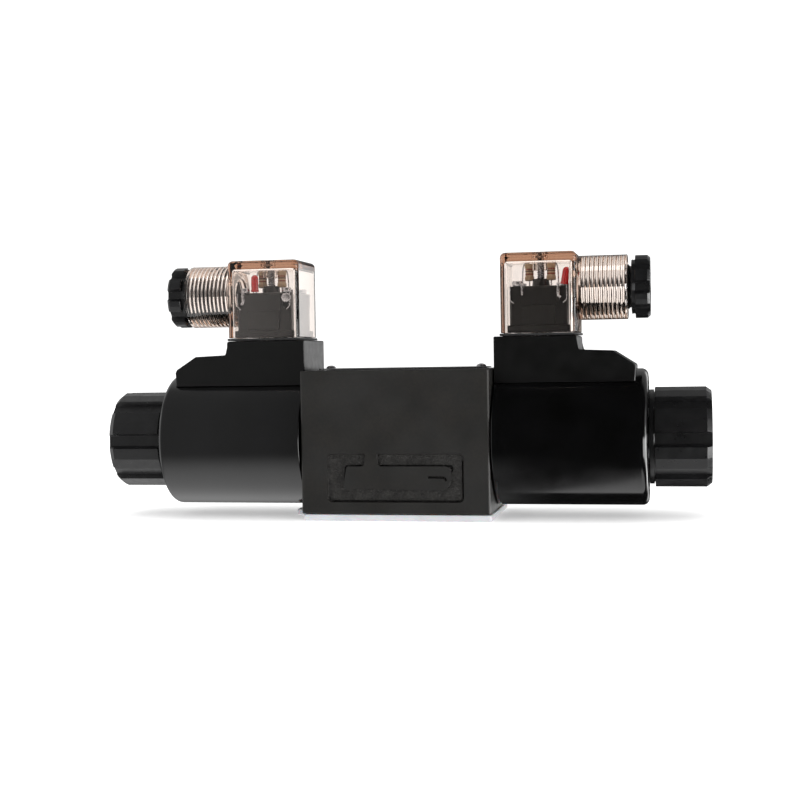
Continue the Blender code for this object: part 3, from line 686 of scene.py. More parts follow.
def pocket_parts(face, centre_x, underside):
    """The pocket's cutter, flared at the face, and the raised panel that stays flush inside it."""
    cx, cz = centre_x + POCKET_CENTRE[0], underside + POCKET_CENTRE[1]
    half_x, half_z = POCKET_SIZE[0] / 2, POCKET_SIZE[1] / 2
    levels = []
    for depth, flare in POCKET_WALL:
        sides = rectangle(cx - half_x - flare, cx + half_x + flare, cz - half_z - flare, cz + half_z + flare)
        levels.append((rounded(sides, POCKET_CORNER + flare, 6), face + depth))
    pocket = stack(levels, "uw")
    left, right = cx - half_x + PANEL_MARGINS[0], cx + half_x - PANEL_MARGINS[1]
    top, bottom = cz + half_z - PANEL_MARGINS[2], cz - half_z + PANEL_MARGINS[3]
    bridge_left, bridge_right = left + PANEL_BRIDGE[0], left + PANEL_BRIDGE[1]
    roof = cz + half_z + 1.0
    panel = [(left - 0.4, bottom + 0.6, 1.0), (right, bottom, 4.0), (right + 0.4, top, 2.2),
             (bridge_right + 0.3, top, 0.8), (bridge_right, roof, 0), (bridge_left, roof, 0),
             (bridge_left - 0.3, top, 0.8), (left + 1.0, top, 0.8)]
    floor = face + POCKET_DEPTH
    flush = slab(rounded(panel, 0, 5), "uw", face + 0.02, floor + 1, 0.22)
    low_edge, right_edge = cz - half_z + 0.15, cx + half_x - 0.15
    paths = (
        ((cx - half_x + 1.8, low_edge), (right_edge, low_edge), (right_edge, cz + half_z - 2.4), 1.6),
        ((left + 0.1, bottom + 2.2), (left + 0.6, top + 0.15), (bridge_left - 0.9, top + 0.15), 1.0),
        ((bridge_right + 0.9, top + 0.15), (right + 0.5, top + 0.15), (right + 0.5, top - 2.0), 1.8))
    creases = [slab(crease(*path), "uw", floor - 0.7, floor + CREASE_DEPTH) for path in paths]
    return pocket, flush, creases, (right, (bottom + top) / 2)


def build_casting():
    low, high = box_mm("valve_body")
    outline = rounded(rectangle(low.x, high.x, low.y, high.y), BODY_CORNER)
    casting = draft("casting", slab(outline, "uv", low.z, high.z, BODY_EDGE))
    pocket, panel, creases, (right, middle_height) = pocket_parts(low.y, (low.x + high.x) / 2, low.z)
    rivet_foot = box_mm("rivet_right")[0].z - PLAY
    cut(casting, bore_cutter(high.x), *bolt_holes(low.z, high.z), *port_holes(low.z),
        *rivet_holes(rivet_foot, high.z + OVERCUT), pocket)
    join(casting, panel)
    cut(casting, *creases)
    slot = middle_height + 0.4
    slot_path = [(right - 8.4, low.y, slot), (right - 5.0, low.y, slot), (right - 2.4, low.y, slot - 0.2),
                 (right - 1.6, low.y, slot - 1.3)]
    cut(casting, wire(slot_path, *SLOT_WIRE))
    settle(casting, IRON, "valve", "cast_iron", "valve_body")
    casting.data.materials.append(ROUGH_IRON)
    casting.data.materials.append(GROUND_IRON)
    for face in casting.data.polygons:
        centre = face.center / MM
        sunk = POCKET_DEPTH * 0.3 < centre.y - low.y < POCKET_DEPTH + 2.0
        if sunk and -2 < centre.z - low.z < 24:
            face.material_index = 1
        elif centre.z < low.z + 0.01 and face.normal.z < -0.9:
            face.material_index = 2


def build_nameplate():
    low, high = box_mm("nameplate")
    outline = rounded(rectangle(low.x, high.x, low.y, high.y), 1.6)
    plate = draft("label_plate", slab(outline, "uv", low.z, high.z, 0.12))
    cut(plate, *rivet_holes(low.z - OVERCUT, high.z + OVERCUT))
    settle(plate, BRUSHED, "valve", "nameplate", "nameplate")
    build_symbol(high.z)
    for side in SIDES:
        build_rivet("rivet_" + side, high.z + 0.03)


def build_rivet(node, seat):
    """Drive rivet with a domed head."""
    low, high = box_mm(node)
    centre = middle(node)
    rise = RIVET_DOME * (high.z - seat)
    profile = [(low.z, 0), (low.z, 0.8), (low.z + 0.4, 1.0), (seat, 1.0),
               *dome(seat, rise, (high.x - low.x) / 2, 10), (seat + rise, 0)]
    settle(draft("drive_" + node, hole(centre.x, centre.y, profile)), BRUSHED, "valve", "steel", node)


SYMBOL_LINE = 0.35
SYMBOL_BOX = 7.0
SYMBOL_LIFT = 0.02


def build_symbol(height):
    """Generic three-position valve symbol with a small box crossed by a diagonal at each end, printed on the
    label plate.
    """
    marks = []

    def print_on(outline, lift=SYMBOL_LIFT):
        marks.append(slab(outline, "uv", height - 0.05, height + lift))

    def bar(x0, y0, x1, y1):
        start, end = Vector((x0, y0)), Vector((x1, y1))
        across = (end - start).orthogonal().normalized() * SYMBOL_LINE / 2
        print_on([tuple(corner) for corner in (start + across, start - across, end - across, end + across)])

    def arrow(x, start, end):
        head = 1.1 if end > start else -1.1
        bar(x, start, x, end - head * 0.8)
        print_on([(x - 0.6, end - head), (x + 0.6, end - head), (x, end)], SYMBOL_LIFT * 1.5)

    half = SYMBOL_BOX / 2
    for box in (-1, 0, 1):
        for edge in (-half, half):
            bar(box * SYMBOL_BOX - half, edge, box * SYMBOL_BOX + half, edge)
    for edge in (-1.5, -0.5, 0.5, 1.5):
        bar(edge * SYMBOL_BOX, -half, edge * SYMBOL_BOX, half)
    arrow(-SYMBOL_BOX - 1.5, -half, half)
    arrow(-SYMBOL_BOX + 1.5, half, -half)
    for x in (-1.5, 1.5):
        for edge, inward in ((-half, 1.6), (half, -1.6)):
            bar(x, edge, x, edge + inward)
            bar(x - 0.9, edge + inward, x + 0.9, edge + inward)
    bar(SYMBOL_BOX - 1.9, -half, SYMBOL_BOX + 1.9, half)
    bar(SYMBOL_BOX + 1.9, -half, SYMBOL_BOX - 1.9, half)
    for side in (-1, 1):
        near, far = side * 1.5 * SYMBOL_BOX, side * (1.5 * SYMBOL_BOX + 6)
        for y in (-1.6, 1.6):
            bar(near, y, far, y)
        bar(far, -1.6, far, 1.6)
        bar(near + side * 2, -1.6, near + side * 4, 1.6)
    settle(draft("plate_symbol", together(*marks)), INK, "valve", "nameplate")


def build_port_seals():
    for port in PORT_NAMES:
        node = "port_seal_" + port
        low, high = box_mm(node)
        centre = middle(node)
        section = (high.z - low.z) / 2
        outline = ring_outline(centre.z, (high.x - low.x) / 2 - section, section, 16)
        ring = moved(upright(turned(outline, 64)), centre.x, centre.y)
        settle(draft("o_ring_" + port, ring), RUBBER, "valve", "rubber", node)


COVER_CORNER = 1.4
COVER_RECESS = (-16.5, 18.5, -15.5, 15.5)
TAB_HALF = 5.9
TAB_CORNER = 2.4
GRIP_PITCH = 1.7
PEG_RADIUS = 2.25


def build_cover_plate():
    """Moulded cover over the ports: a plate with two pegs and a ribbed pull tab."""
    low, high = box_mm("port_cover_plate")
    body_low, body_high = box_mm("valve_body")
    plate_top = body_low.z - PLAY
    shift = high.x - body_high.x
    outline = rounded(rectangle(body_low.x + shift, high.x, low.y, high.y), COVER_CORNER)
    plate = draft("port_cover", slab(outline, "uv", low.z, plate_top, 0.35))
    root = body_low.x + 3
    tab = rounded([(low.x, -TAB_HALF, TAB_CORNER), (root, -TAB_HALF, 0), (root, TAB_HALF, 0),
                   (low.x, TAB_HALF, TAB_CORNER)], 0)
    join(plate, slab(tab, "uv", low.z + 0.12, plate_top - 0.12, 0.3))
    for step in range(3):
        start = low.x + 1.6 + step * GRIP_PITCH
        grip = rectangle(start, start + 0.8, -4.2, 4.2)
        join(plate, slab(grip, "uv", plate_top - 0.4, plate_top - 0.02, 0.1))
    for x, y in bolt_places()[0:3:2]:
        join(plate, hole(x, y, bar_profile(plate_top - 1, high.z, PEG_RADIUS, 0, 0.6)))
    cut(plate, slab(rounded(rectangle(*COVER_RECESS), 3.0), "uv", plate_top - 0.6, plate_top + OVERCUT, 0.3))
    settle(plate, COVER, "port_cover", "cover_plastic", "port_cover_plate")


# ---- coil, terminal base and nuts

RIM_RADIUS = 2.3
INNER_RIM_RADIUS = 0.3
COIL_WALL = 2.0

STEP_RING = (5.2, 0.5)                 # inset and depth of the ring groove in the coil's outer end
TUBE_GAP = 2.6
BORE_GAP = 0.7

LOBES = 8
LOBE_CORNER = 0.18
LOBE_POINT = math.radians(11.25)       # how far the CAD nut's highest lobe corner stands from upright
NUT_GROOVE = (math.radians(9.0), math.radians(6.8))
NUT_GROOVE_DEPTH = 2.0
NUT_CHAMFER = (2.0, 1.5)
NUT_COLLAR_STEP = 1.1
GLAND_GROOVE = (math.radians(12.0), math.radians(8.0))
GLAND_GROOVE_DEPTH = 2.1
GLAND_TURN = math.radians(3.5)
GLAND_HEAD = 6.8
GLAND_THREAD_DEPTH = 0.8
GLAND_COLLAR = 10.0
GLAND_COLLAR_LENGTH = 1.4
GLAND_BORE = 5.0


def build_coil_case():
    """Drum with a broad round outer rim, a step ring on its outer end and hollow inside."""
    low, high = side_box("coil_case")
    radius = high.y
    bore = side_box("core_tube")[1].y + BORE_GAP
    tube_bore = side_box("armature")[1].y + TUBE_GAP
    bobbin_low, bobbin_high = side_box("coil_bobbin")
    start, end, ceiling = bobbin_low.x - PLAY, bobbin_high.x + PLAY, radius - COIL_WALL
    groove, floor = radius - STEP_RING[0], high.x - STEP_RING[1]
    profile = [
        (low.x, bore, 0.2), (low.x, radius, INNER_RIM_RADIUS), (high.x, radius, RIM_RADIUS),
        (high.x, groove, 0.15), (floor, groove - 0.3, 0.15), (floor, groove - 1.5, 0.15),
        (high.x, groove - 1.8, 0.15), (high.x, tube_bore, 0.4), (end, tube_bore, 0.1), (end, ceiling, 0.1),
        (start, ceiling, 0.1), (start, bore, 0.1)]
    shell = draft("coil_shell", turned(rounded(profile, 0, 6)))
    settle_both(shell, COIL_BLACK, "coil", "coil_shell", "coil_case")


BLADES = ("line_blade", "return_blade", "earth_blade")
BLADE_TIP = (1.3, 1.4)                 # width and height of its chamfers
BLADE_DIMPLE = (0.7, 3.2)              # radius and distance below the tip


def blade_slots(low, high, growth):
    """Cutters for the three contact blades, between two heights."""
    grown = Vector((growth, growth, 0))
    slots = []
    for blade in BLADES:
        box_low, box_high = side_box(blade)
        start, end = box_low - grown, box_high + grown
        slots.append(slab(rectangle(start.x, end.x, start.y, end.y), "uv", low, high))
    return slots


def plug_centre():
    return (side_box("plug_screw")[0].x + side_box("plug_screw")[1].x) / 2


def plug_square(half, corner, steps=ARC):
    """Rounded square about the plug's centre."""
    centre = plug_centre()
    return rounded(rectangle(centre - half, centre + half, -half, half), corner, steps)


BASE_SHOULDER = (8.25, 5.7)            # from the nose's end and from the top
BASE_NOSE_DROP = 11.0
PLUG_SIDE = 28.0
SCREW_HOLE = 1.9


def build_terminal_base():
    """Housing moulded on top of the coil: its seat for the plug, a step and a sloping nose."""
    low, high = side_box("terminal_base")
    coil_radius = side_box("coil_case")[1].y
    plug_end = side_box("plug_housing")[0].x + PLUG_SIDE
    shoulder_end, shoulder = high.x - BASE_SHOULDER[0], high.z - BASE_SHOULDER[1]
    outline = [(low.x, low.z, 0), (low.x, high.z, 0.5), (plug_end, high.z, 0.8), (plug_end, shoulder, 1.2),
               (shoulder_end, shoulder, 1.5), (high.x, high.z - BASE_NOSE_DROP, 1.2), (high.x, low.z, 0)]
    base = draft("terminal_housing", slab(rounded(outline, 0), "uw", low.y, high.y, 0.45))
    cut(base, turned(rectangle(low.x - OVERCUT, high.x + OVERCUT, 0, coil_radius + PLAY / 3), ROUND))
    cut(base, drilled(plug_centre(), side_box("plug_screw")[0].z - PLAY, high.z + OVERCUT, SCREW_HOLE))
    cut(base, *blade_slots(side_box("line_blade")[0].z - PLAY, high.z + OVERCUT, 0.3))
    settle_both(base, MOULDED_BLACK, "coil", "moulded_black", "terminal_base")


def build_blades():
    """Contact blades with chamfered tips and a small dimple hole."""
    for name in BLADES:
        low, high = side_box(name)
        across_u = high.x - low.x > high.y - low.y
        centre = (low + high) / 2
        wide, thin = ("x", "y") if across_u else ("y", "x")
        start, end = getattr(low, wide), getattr(high, wide)
        shoulder = high.z - BLADE_TIP[1]
        outline = [(start, low.z), (end, low.z), (end, shoulder), (end - BLADE_TIP[0], high.z),
                   (start + BLADE_TIP[0], high.z), (start, shoulder)]
        plane = "uw" if across_u else "vw"
        strip = slab(rounded(outline, 0.25), plane, getattr(low, thin), getattr(high, thin), 0.16)
        blade = draft("contact_" + name.split("_")[0], strip)
        drill = pin(-2, 2, BLADE_DIMPLE[0])
        drill = crosswise(drill) if across_u else drill
        cut(blade, moved(drill, centre.x, centre.y, high.z - BLADE_DIMPLE[1]))
        settle_both(blade, BLADE_METAL, "coil", "blade_metal", name)


def build_coil_nut():
    low, high = side_box("coil_nut")
    outer = high.z / math.cos(LOBE_POINT)
    collar = outer - NUT_COLLAR_STEP
    head = low.x + 2.0
    tube = side_box("tube_stop")[1]
    inner_wall = tube.x + 0.6
    hole_radius = side_box("override_pin")[1].y + 2.0
    seal_low, seal_high = side_box("nut_seal")
    profile = [
        (low.x, seal_high.y + 0.5), (low.x, collar, 0.35), (head - 0.35, collar, 0),
        (head - 0.35, collar - 0.8, 0), (head, collar - 0.8, 0), (head, outer, 0.3),
        (high.x - NUT_CHAMFER[0], outer, 0.25),
        (high.x, outer - NUT_CHAMFER[1], 0.4), (high.x, hole_radius + 2.6), (high.x - 0.5, hole_radius + 2.3),
        (high.x - 0.5, hole_radius + 0.5), (high.x - 1.0, hole_radius), (inner_wall, hole_radius),
        (inner_wall, tube.y + 1.5), (seal_high.x + 0.4, tube.y + 1.5), (seal_high.x + 0.4, seal_high.y + 0.5)]
    columns = lobed_columns(outer, outer - NUT_GROOVE_DEPTH, *NUT_GROOVE)
    nut = turned(rounded(profile, 0.2, 3), columns, head - 0.1)
    settle_both(draft("coil_retaining_nut", nut), NUT_NYLON, "coil_nut", "nut_plastic", "coil_nut")
    section = (seal_high.x - seal_low.x) / 2
    seal = ring_outline(seal_low.x + section, seal_high.y - section, section, 12)
    settle_both(draft("nut_o_ring", turned(seal, 64)), RUBBER, "coil_nut", "rubber", "nut_seal")


def build_override():
    """Brass override pin with a domed, dimpled button."""
    low, high = side_box("override_pin")
    head_start = high.x - 5.8
    profile = [(low.x, 0, 0), (low.x, 2.0, 0.5), (head_start, 2.0, 0), (head_start, high.y),
               (high.x, high.y, 0.9), (high.x, 1.6), (high.x - 0.5, 0.9), (high.x - 0.6, 0, 0)]
    button = turned(rounded(profile, 0.3), SMALL_ROUND)
    settle_both(draft("override_button", button), BRASS, "override", "brass", "override_pin")


def build_gland_nut():
    """Cable gland nut: ribbed shank, thin collar and eight-lobed head. The left one is screwed in further."""
    low, high = side_box("gland_nut")
    neck = middle("gland_nut_right").z - AXIS_HEIGHT
    outer = (high.y - low.y) / 2 / math.cos(LOBE_POINT)
    shank = side_box("cable_seal")[1].y - 0.45
    head = high.x - GLAND_HEAD
    collar = head + GLAND_COLLAR_LENGTH
    profile = [
        (low.x, GLAND_BORE, 0.3), *ribs(low.x, head - 0.5, shank - GLAND_THREAD_DEPTH, shank, NECK_PITCH),
        (head, shank - GLAND_THREAD_DEPTH, 0), (head, GLAND_COLLAR, 0.25),
        (collar, GLAND_COLLAR, 0), (collar, outer, 0.25), (high.x - 1.0, outer, 0.25),
        (high.x, outer - 1.0, 0.3), (high.x, GLAND_BORE + 1.2, 0.5), (high.x - 1.2, GLAND_BORE, 0.5)]
    columns = lobed_columns(outer, outer - GLAND_GROOVE_DEPTH, *GLAND_GROOVE, GLAND_TURN)
    nut = draft("cable_gland_nut", moved(turned(rounded(profile, 0, 3), columns, collar - 0.1), w=neck))
    left = settle_both(nut, NUT_NYLON, "gland_nut", "nut_plastic", "gland_nut")
    inward = -box_mm("gland_nut_left")[0].x - high.x
    left.data.transform(Matrix.Translation((inward * MM, 0, 0)))


# ---- clear plug

PLUG_WALL = 1.8
PLUG_TOP_WALL = 3.2
PLUG_CORNER = 2.4
PLUG_TOP_EDGE = 1.9
BLOCK_HEIGHT = 16.8
SCREW_HEAD_HEIGHT = 1.7
SCREW_HEAD_RADIUS = 2.65
SCREW_THREAD = (1.12, 1.5, 0.7)         # core radius, crest radius, pitch
SCREW_SLOT = (0.4, 0.8)                 # half width, depth
NECK_RADIUS = 11.9
NECK_COLUMNS = 96
NECK_THREAD = (9.25, 10.1)              # core and crest radius
NECK_PITCH = 1.6


def build_plug_housing():
    """Clear cover with rounded corners and a neck with ribs inside."""
    low, high = side_box("plug_housing")
    centre = plug_centre()
    half = high.y
    neck = middle("cable_seal_right").z - AXIS_HEIGHT
    seal_start = side_box("cable_seal")[0].x
    wall_u = centre + half
    levels = [(plug_square(half - 0.2, PLUG_CORNER - 0.2, 6), low.z),
              (plug_square(half, PLUG_CORNER, 6), low.z + 0.2)]
    for angle in range(0, 91, 15):
        turn = math.radians(angle)
        inset = PLUG_TOP_EDGE * (1 - math.cos(turn))
        outline = plug_square(half - inset, PLUG_CORNER - inset, 6)
        levels.append((outline, high.z - PLUG_TOP_EDGE * (1 - math.sin(turn))))
    housing = draft("clear_cover", stack(levels, "uv"))
    tube = bar_profile(wall_u - OVERCUT, high.x, NECK_RADIUS, 0, 0.3)
    join(housing, moved(turned(tube, NECK_COLUMNS), w=neck))
    roof = high.z - PLUG_TOP_WALL
    cut(housing, slab(plug_square(half - PLUG_WALL, 1.0, 3), "uv", low.z - OVERCUT, roof, 1.1))
    join(housing, hole(centre, 0, bar_profile(roof - 3.0, roof + 1, 3.2, 0.3, 0)))
    thread_start = seal_start - 0.4
    thread = [(thread_start, 0, 0), *ribs(thread_start, high.x, *NECK_THREAD, NECK_PITCH),
              (high.x + 1.2, NECK_THREAD[0], 0), (high.x + 1.2, 0, 0)]
    cut(housing, moved(turned(rounded(thread, 0, 2), NECK_COLUMNS), w=neck))
    cut(housing, moved(pin(wall_u - PLUG_WALL - 2, seal_start + 1, 7.0, 0), w=neck))
    seat = side_box("plug_screw")[1].z - SCREW_HEAD_HEIGHT - PLAY
    cut(housing, hole(centre, 0, [(roof - 5, 0), (high.z + 1, 0), (high.z + 1, 3.4), (high.z - 0.4, 3.0),
                                  (seat, 3.0), (seat, SCREW_HOLE), (roof - 5, SCREW_HOLE)]))
    settle_both(housing, CLEAR, "plug", "clear_plastic", "plug_housing")


def build_gasket():
    low, high = side_box("plug_gasket")
    start, end = low.z - OVERCUT, high.z + OVERCUT
    gasket = draft("profile_gasket", slab(plug_square(high.y, 2.2, 5), "uv", low.z, high.z, 0.2))
    cut(gasket, drilled(plug_centre(), start, end, 2.1))
    cut(gasket, *blade_slots(start, end, 0.4))
    settle_both(gasket, RUBBER, "plug", "rubber", "plug_gasket")


def build_terminal_block():
    """Insert with a flange at its foot, stepped shoulders, a raised pad on each face and a screw column."""
    low, high = side_box("terminal_block")
    centre = plug_centre()
    half = high.y
    waist = half - 1.0
    top = low.z + BLOCK_HEIGHT

    def plate(offset, reach, bottom, ceiling, corner, inner, outer, edge):
        """A plate on a front or back face: reach wide to each side of offset, from depth inner to outer."""
        left, right = centre + offset - reach, centre + offset + reach
        outline = rounded(rectangle(left, right, bottom, ceiling), corner)
        return slab(outline, "uw", *sorted((side * inner, side * outer)), edge)

    block = draft("contact_insert", slab(plug_square(half, 0.8), "uv", low.z, low.z + 2.4, 0.3))
    join(block, slab(plug_square(waist, 1.0), "uv", low.z + 1, top, 0.5))
    for side in (-1, 1):
        join(block, plate(0, 6.1, low.z + 2.6, low.z + 9.4, 0.5, waist - 1, half - 0.05, 0.2),
             plate(0, 6.6, low.z + 9.9, top - 0.8, 0.4, waist - 1, waist + 0.5, 0.15))
        for offset in (-9.0, 9.0):
            cut(block, plate(offset, 1.5, top - 5.5, top + 1, 0.5, waist - 2.6, waist + 1, 0.2))
    join(block, hole(centre, 0, bar_profile(top - 1, high.z, 3.0, 0, 0.4, 3.5)))
    cut(block, drilled(centre, low.z - OVERCUT, high.z + OVERCUT, SCREW_HOLE))
    cut(block, *blade_slots(low.z - OVERCUT, side_box("line_blade")[1].z + PLAY, 0.3))
    settle_both(block, MOULDED_BLACK, "plug", "moulded_black", "terminal_block")
    return top


CLAMP_SCREWS = ((8.2, 8.6), (-8.0, -8.4), (-8.2, 8.0))
CLIPS = ((-5.9, -10.9), (8.3, 10.9), (7.2, -10.7))
LOOPS = ((-10.3, -11.3), (10.3, -11.3), (-10.3, 11.3), (10.3, 11.3))
# (along, across, up) from the clip's place, and (share of u, up) for a loop; up is from the insert's top.
CLIP_PATH = ((0, -0.6, 0.9), (0, -0.1, 0.5), (0, 0.15, -1.0), (0, 0.1, -3.6), (0.8, -0.3, -4.4))
LOOP_PATH = ((1, 0.2), (1, -3.5), (0.985, -5.2), (0.87, -6.4))


def build_terminals(top):
    """Clamp screws, bent clips and wire loops on the insert, at (u, v) places about the plug's centre."""
    centre = plug_centre()
    screws = []
    for u, v in CLAMP_SCREWS:
        screws.append(moved(upright(pin(top + 0.02, top + 1.9, 1.9, 0.35, 32)), centre + u, v))
    screws.append(moved(crosswise(pin(10.2, 11.6, 1.8, 0.3, 32)), centre - 8.8, 0, top - 2.0))
    clips, loops = [], []
    for u, v in CLIPS:
        side = math.copysign(1, v)
        clips.append(wire([(centre + u + x, v + side * y, top + z) for x, y, z in CLIP_PATH], 0.55, 10, 0.35))
    for u, v in LOOPS:
        loops.append(wire([(centre + u * share, v, top + z) for share, z in LOOP_PATH], 0.22, 8))
    for name, meshes in (("clamp_screws", screws), ("spring_clips", clips), ("wire_loops", loops)):
        settle_both(draft(name, together(*meshes)), STEEL, "plug", "steel")


def build_screw():
    """Long plug screw: rolled thread, slotted pan head."""
    low, high = side_box("plug_screw")
    centre = plug_centre()
    head = high.z - SCREW_HEAD_HEIGHT
    thread = moved(upright(threaded(low.z, head + 0.4, *SCREW_THREAD, 24)), centre)
    screw = draft("plug_fixing_screw", thread)
    join(screw, hole(centre, 0, bar_profile(head, high.z, SCREW_HEAD_RADIUS, 0.1, 0.55)))
    slot = rectangle(centre - 3, centre + 3, -SCREW_SLOT[0], SCREW_SLOT[0])
    cut(screw, slab(slot, "uv", high.z - SCREW_SLOT[1], high.z + OVERCUT))
    settle_both(screw, STEEL, "plug", "steel", "plug_screw")


LAMP_LEAN = {"left": 0.0, "right": math.radians(10.0)}
LAMP_LEG = ((1, 0.05), (1, -0.2), (1.2, -0.45))         # (share of the spread, height above the foot)


def build_lamp():
    """Light-emitting diode on two legs, at its own place in each plug."""
    for side, turn in SIDES.items():
        node = "indicator_lamp_" + side
        low, high = box_mm(node)
        centre = turn.inverted() @ middle(node)
        radius = (high.x - low.x) / 2
        foot, top = low.z - AXIS_HEIGHT, high.z - AXIS_HEIGHT
        lens_radius = radius - 0.12
        profile = [(foot, 0), (foot, radius), (foot + 0.7, radius), (foot + 0.8, lens_radius),
                   *dome(top - radius, radius, lens_radius, 15), (top, 0)]
        capsule = hole(centre.x, centre.y, profile)
        bmesh.ops.rotate(capsule, verts=capsule.verts, cent=(centre.x, centre.y, foot + radius),
                         matrix=Matrix.Rotation(LAMP_LEAN[side], 3, "Y"))
        lens = draft("indicator_lens_" + side, capsule)
        finished(lens, RED_LENS, AXIS_HEIGHT)
        settle_side(lens, side, "plug", ["indicator_lamp"])
        paths = [[(centre.x + offset * spread, centre.y, foot + rise) for spread, rise in LAMP_LEG]
                 for offset in (-0.6, 0.6)]
        legs = draft("lamp_legs_" + side, together(*[wire(path, 0.2, 8) for path in paths]))
        finished(legs, STEEL, AXIS_HEIGHT)
        settle_side(legs, side, "plug", [])


RESISTORS = ((-4.4, 0.9), (3.9, -1.2))
RESISTOR_LENGTH = 6.4
RESISTOR_RADIUS = 1.65


def build_resistors(top):
    """Two standing resistors with colour bands and looped leads, either side of the screw."""
    centre = plug_centre()
    bodies, red, brown, leads = [], [], [], []
    foot = top + 2.4
    head = foot + RESISTOR_LENGTH
    crown = head + 0.25
    cap, waist = RESISTOR_RADIUS + 0.12, RESISTOR_RADIUS - 0.1
    shape = rounded([(foot, 0, 0), (head, 0, 0), (head, cap, 0.5), (head - 1.5, cap),
                     (head - 1.8, waist, 0.2), (foot + 1.8, waist, 0.2), (foot + 1.5, cap),
                     (foot, cap, 0.5)], 0.3)
    for u, v in RESISTORS:
        place = centre + u
        bodies.append(hole(place, v, shape))
        for bands, level in ((red, 2.3), (brown, 3.4), (red, 4.1)):
            start = foot + level
            band = bushing(start, start + 0.4, RESISTOR_RADIUS - 0.3, RESISTOR_RADIUS - 0.06, 0.05, 32)
            bands.append(moved(upright(band), place, v))
        out = math.copysign(1, u)
        leads.append(wire([(place, v, foot + 0.3), (place, v, foot - 1.2), (place, v, top + 0.05)], 0.25, 8))
        loop = [(0, crown - 0.5), (0.6, crown + 0.1), (1.9, crown - 0.4), (2.5, crown - 3.0),
                (2.7, top + 0.1)]
        leads.append(wire([(place + out * reach, v, height) for reach, height in loop], 0.25, 8))
    for name, meshes, finish, slot in (("resistor_bodies", bodies, RESISTOR, "bobbin_plastic"),
                                       ("resistor_red_bands", red, BAND_RED, "red_lens"),
                                       ("resistor_brown_bands", brown, BAND_BROWN, "brass"),
                                       ("resistor_leads", leads, STEEL, "steel")):
        settle_both(draft(name, together(*meshes)), finish, "plug", slot)


def build_cable_seal():
    low, high = side_box("cable_seal")
    neck = middle("cable_seal_right").z - AXIS_HEIGHT
    radius = high.y
    profile = [(low.x, 4.0), (low.x, radius - 1.0), (low.x + 1.4, radius, 0.5), (high.x, radius, 0.6),
               (high.x, radius - 2.2, 0.5), (high.x - 0.8, radius - 2.8), (high.x - 0.8, 4.6), (high.x, 4.0)]
    seal = moved(turned(rounded(profile, 0.3), 64), w=neck)
    settle_both(draft("cable_grommet", seal), RUBBER, "plug", "rubber", "cable_seal")


def build_plug():
    build_plug_housing()
    build_gasket()
    top = build_terminal_block()
    build_terminals(top)
    build_screw()
    build_lamp()
    build_resistors(top)
    build_cable_seal()


# ---- CAD nodes that stay

KEPT = {
    "core_tube": GROUND_STEEL, "tube_stop": GROUND_STEEL, "tube_seal": RUBBER, "spring_seat": GROUND_STEEL,
    "centring_spring": SPRING_STEEL, "push_pin": GROUND_STEEL, "armature": STEEL, "coil_bobbin": BOBBIN,
    "coil_winding": COPPER,
}


def paint_kept_nodes():
    finishes = {f"{node}_{side}": finish for node, finish in KEPT.items() for side in SIDES}
    finishes["spool"] = GROUND_STEEL
    for name, finish in finishes.items():
        for slot in frame["nodes"][name].material_slots:
            slot.material = finish


# ---- floor, light and camera

def build_stage():
    """A wide pale floor just under the valve."""
    plain = made("studio_floor", (0.93, 0.93, 0.93), 0.75, gloss=((60, 2), 0.05), Specular_IOR_Level=0.0,
                 Emission_Strength=0.3)
    floor = draft("studio_floor", slab(rectangle(-6000, 6000, -6000, 6000), "uv", -20, -0.05, 4))
    finished(floor, plain)
    floor.visible_glossy = False


def area_light(name, place, target, size, radiance):
    """Rectangular soft light whose surface shines with the given radiance."""
    light = bpy.data.lights.new(name, "AREA")
    light.shape = "RECTANGLE"
    light.size, light.size_y = size
    light.energy = radiance * math.pi * size[0] * size[1]
    lamp = bpy.data.objects.new(name, light)
    lamp.location = place
    lamp.rotation_euler = (Vector(target) - Vector(place)).to_track_quat("-Z", "Y").to_euler()
    bpy.context.scene.collection.objects.link(lamp)
    return lamp


ROOM_WHITE = 1.25
ROOM_DARK = 0.02
ROOM_FRONT = 0.05
ROOM_FRONT_WAY = Vector((0.3, -0.95, 0.0))
SLOPE_X = 9.0
# What glossy surfaces mirror. Each panel has its brightness, then its edges: a measure of the direction,
# where the panel starts and where it is full. The measures are x, y, z, the slope SLOPE_X * x + y, and
# the square of x. From first to last they are under the left half, a wedge under the right half, the left,
# a strip at the right, behind the right half, above and behind, and both ends.
ROOM_PANELS = (
    (1.5, ("z", -0.35, -0.95), ("x", -0.10, -0.22)),
    (1.7, ("slope", -0.63, -0.57), ("y", 0.30, 0.26), ("z", -0.75, -0.85)),
    (0.42, ("x", -0.16, -0.34)),
    (8.0, ("x", 0.45, 0.65), ("z", 0.05, -0.05), ("z", -0.50, -0.42), ("y", 0.80, 0.65)),
    (2.6, ("y", 0.80, 0.96), ("x", 0.18, 0.32)),
    (0.4, ("y", 0.1, 0.4), ("z", 0.18, 0.35)),
    (1.1, ("square", 0.72, 0.90)),
)


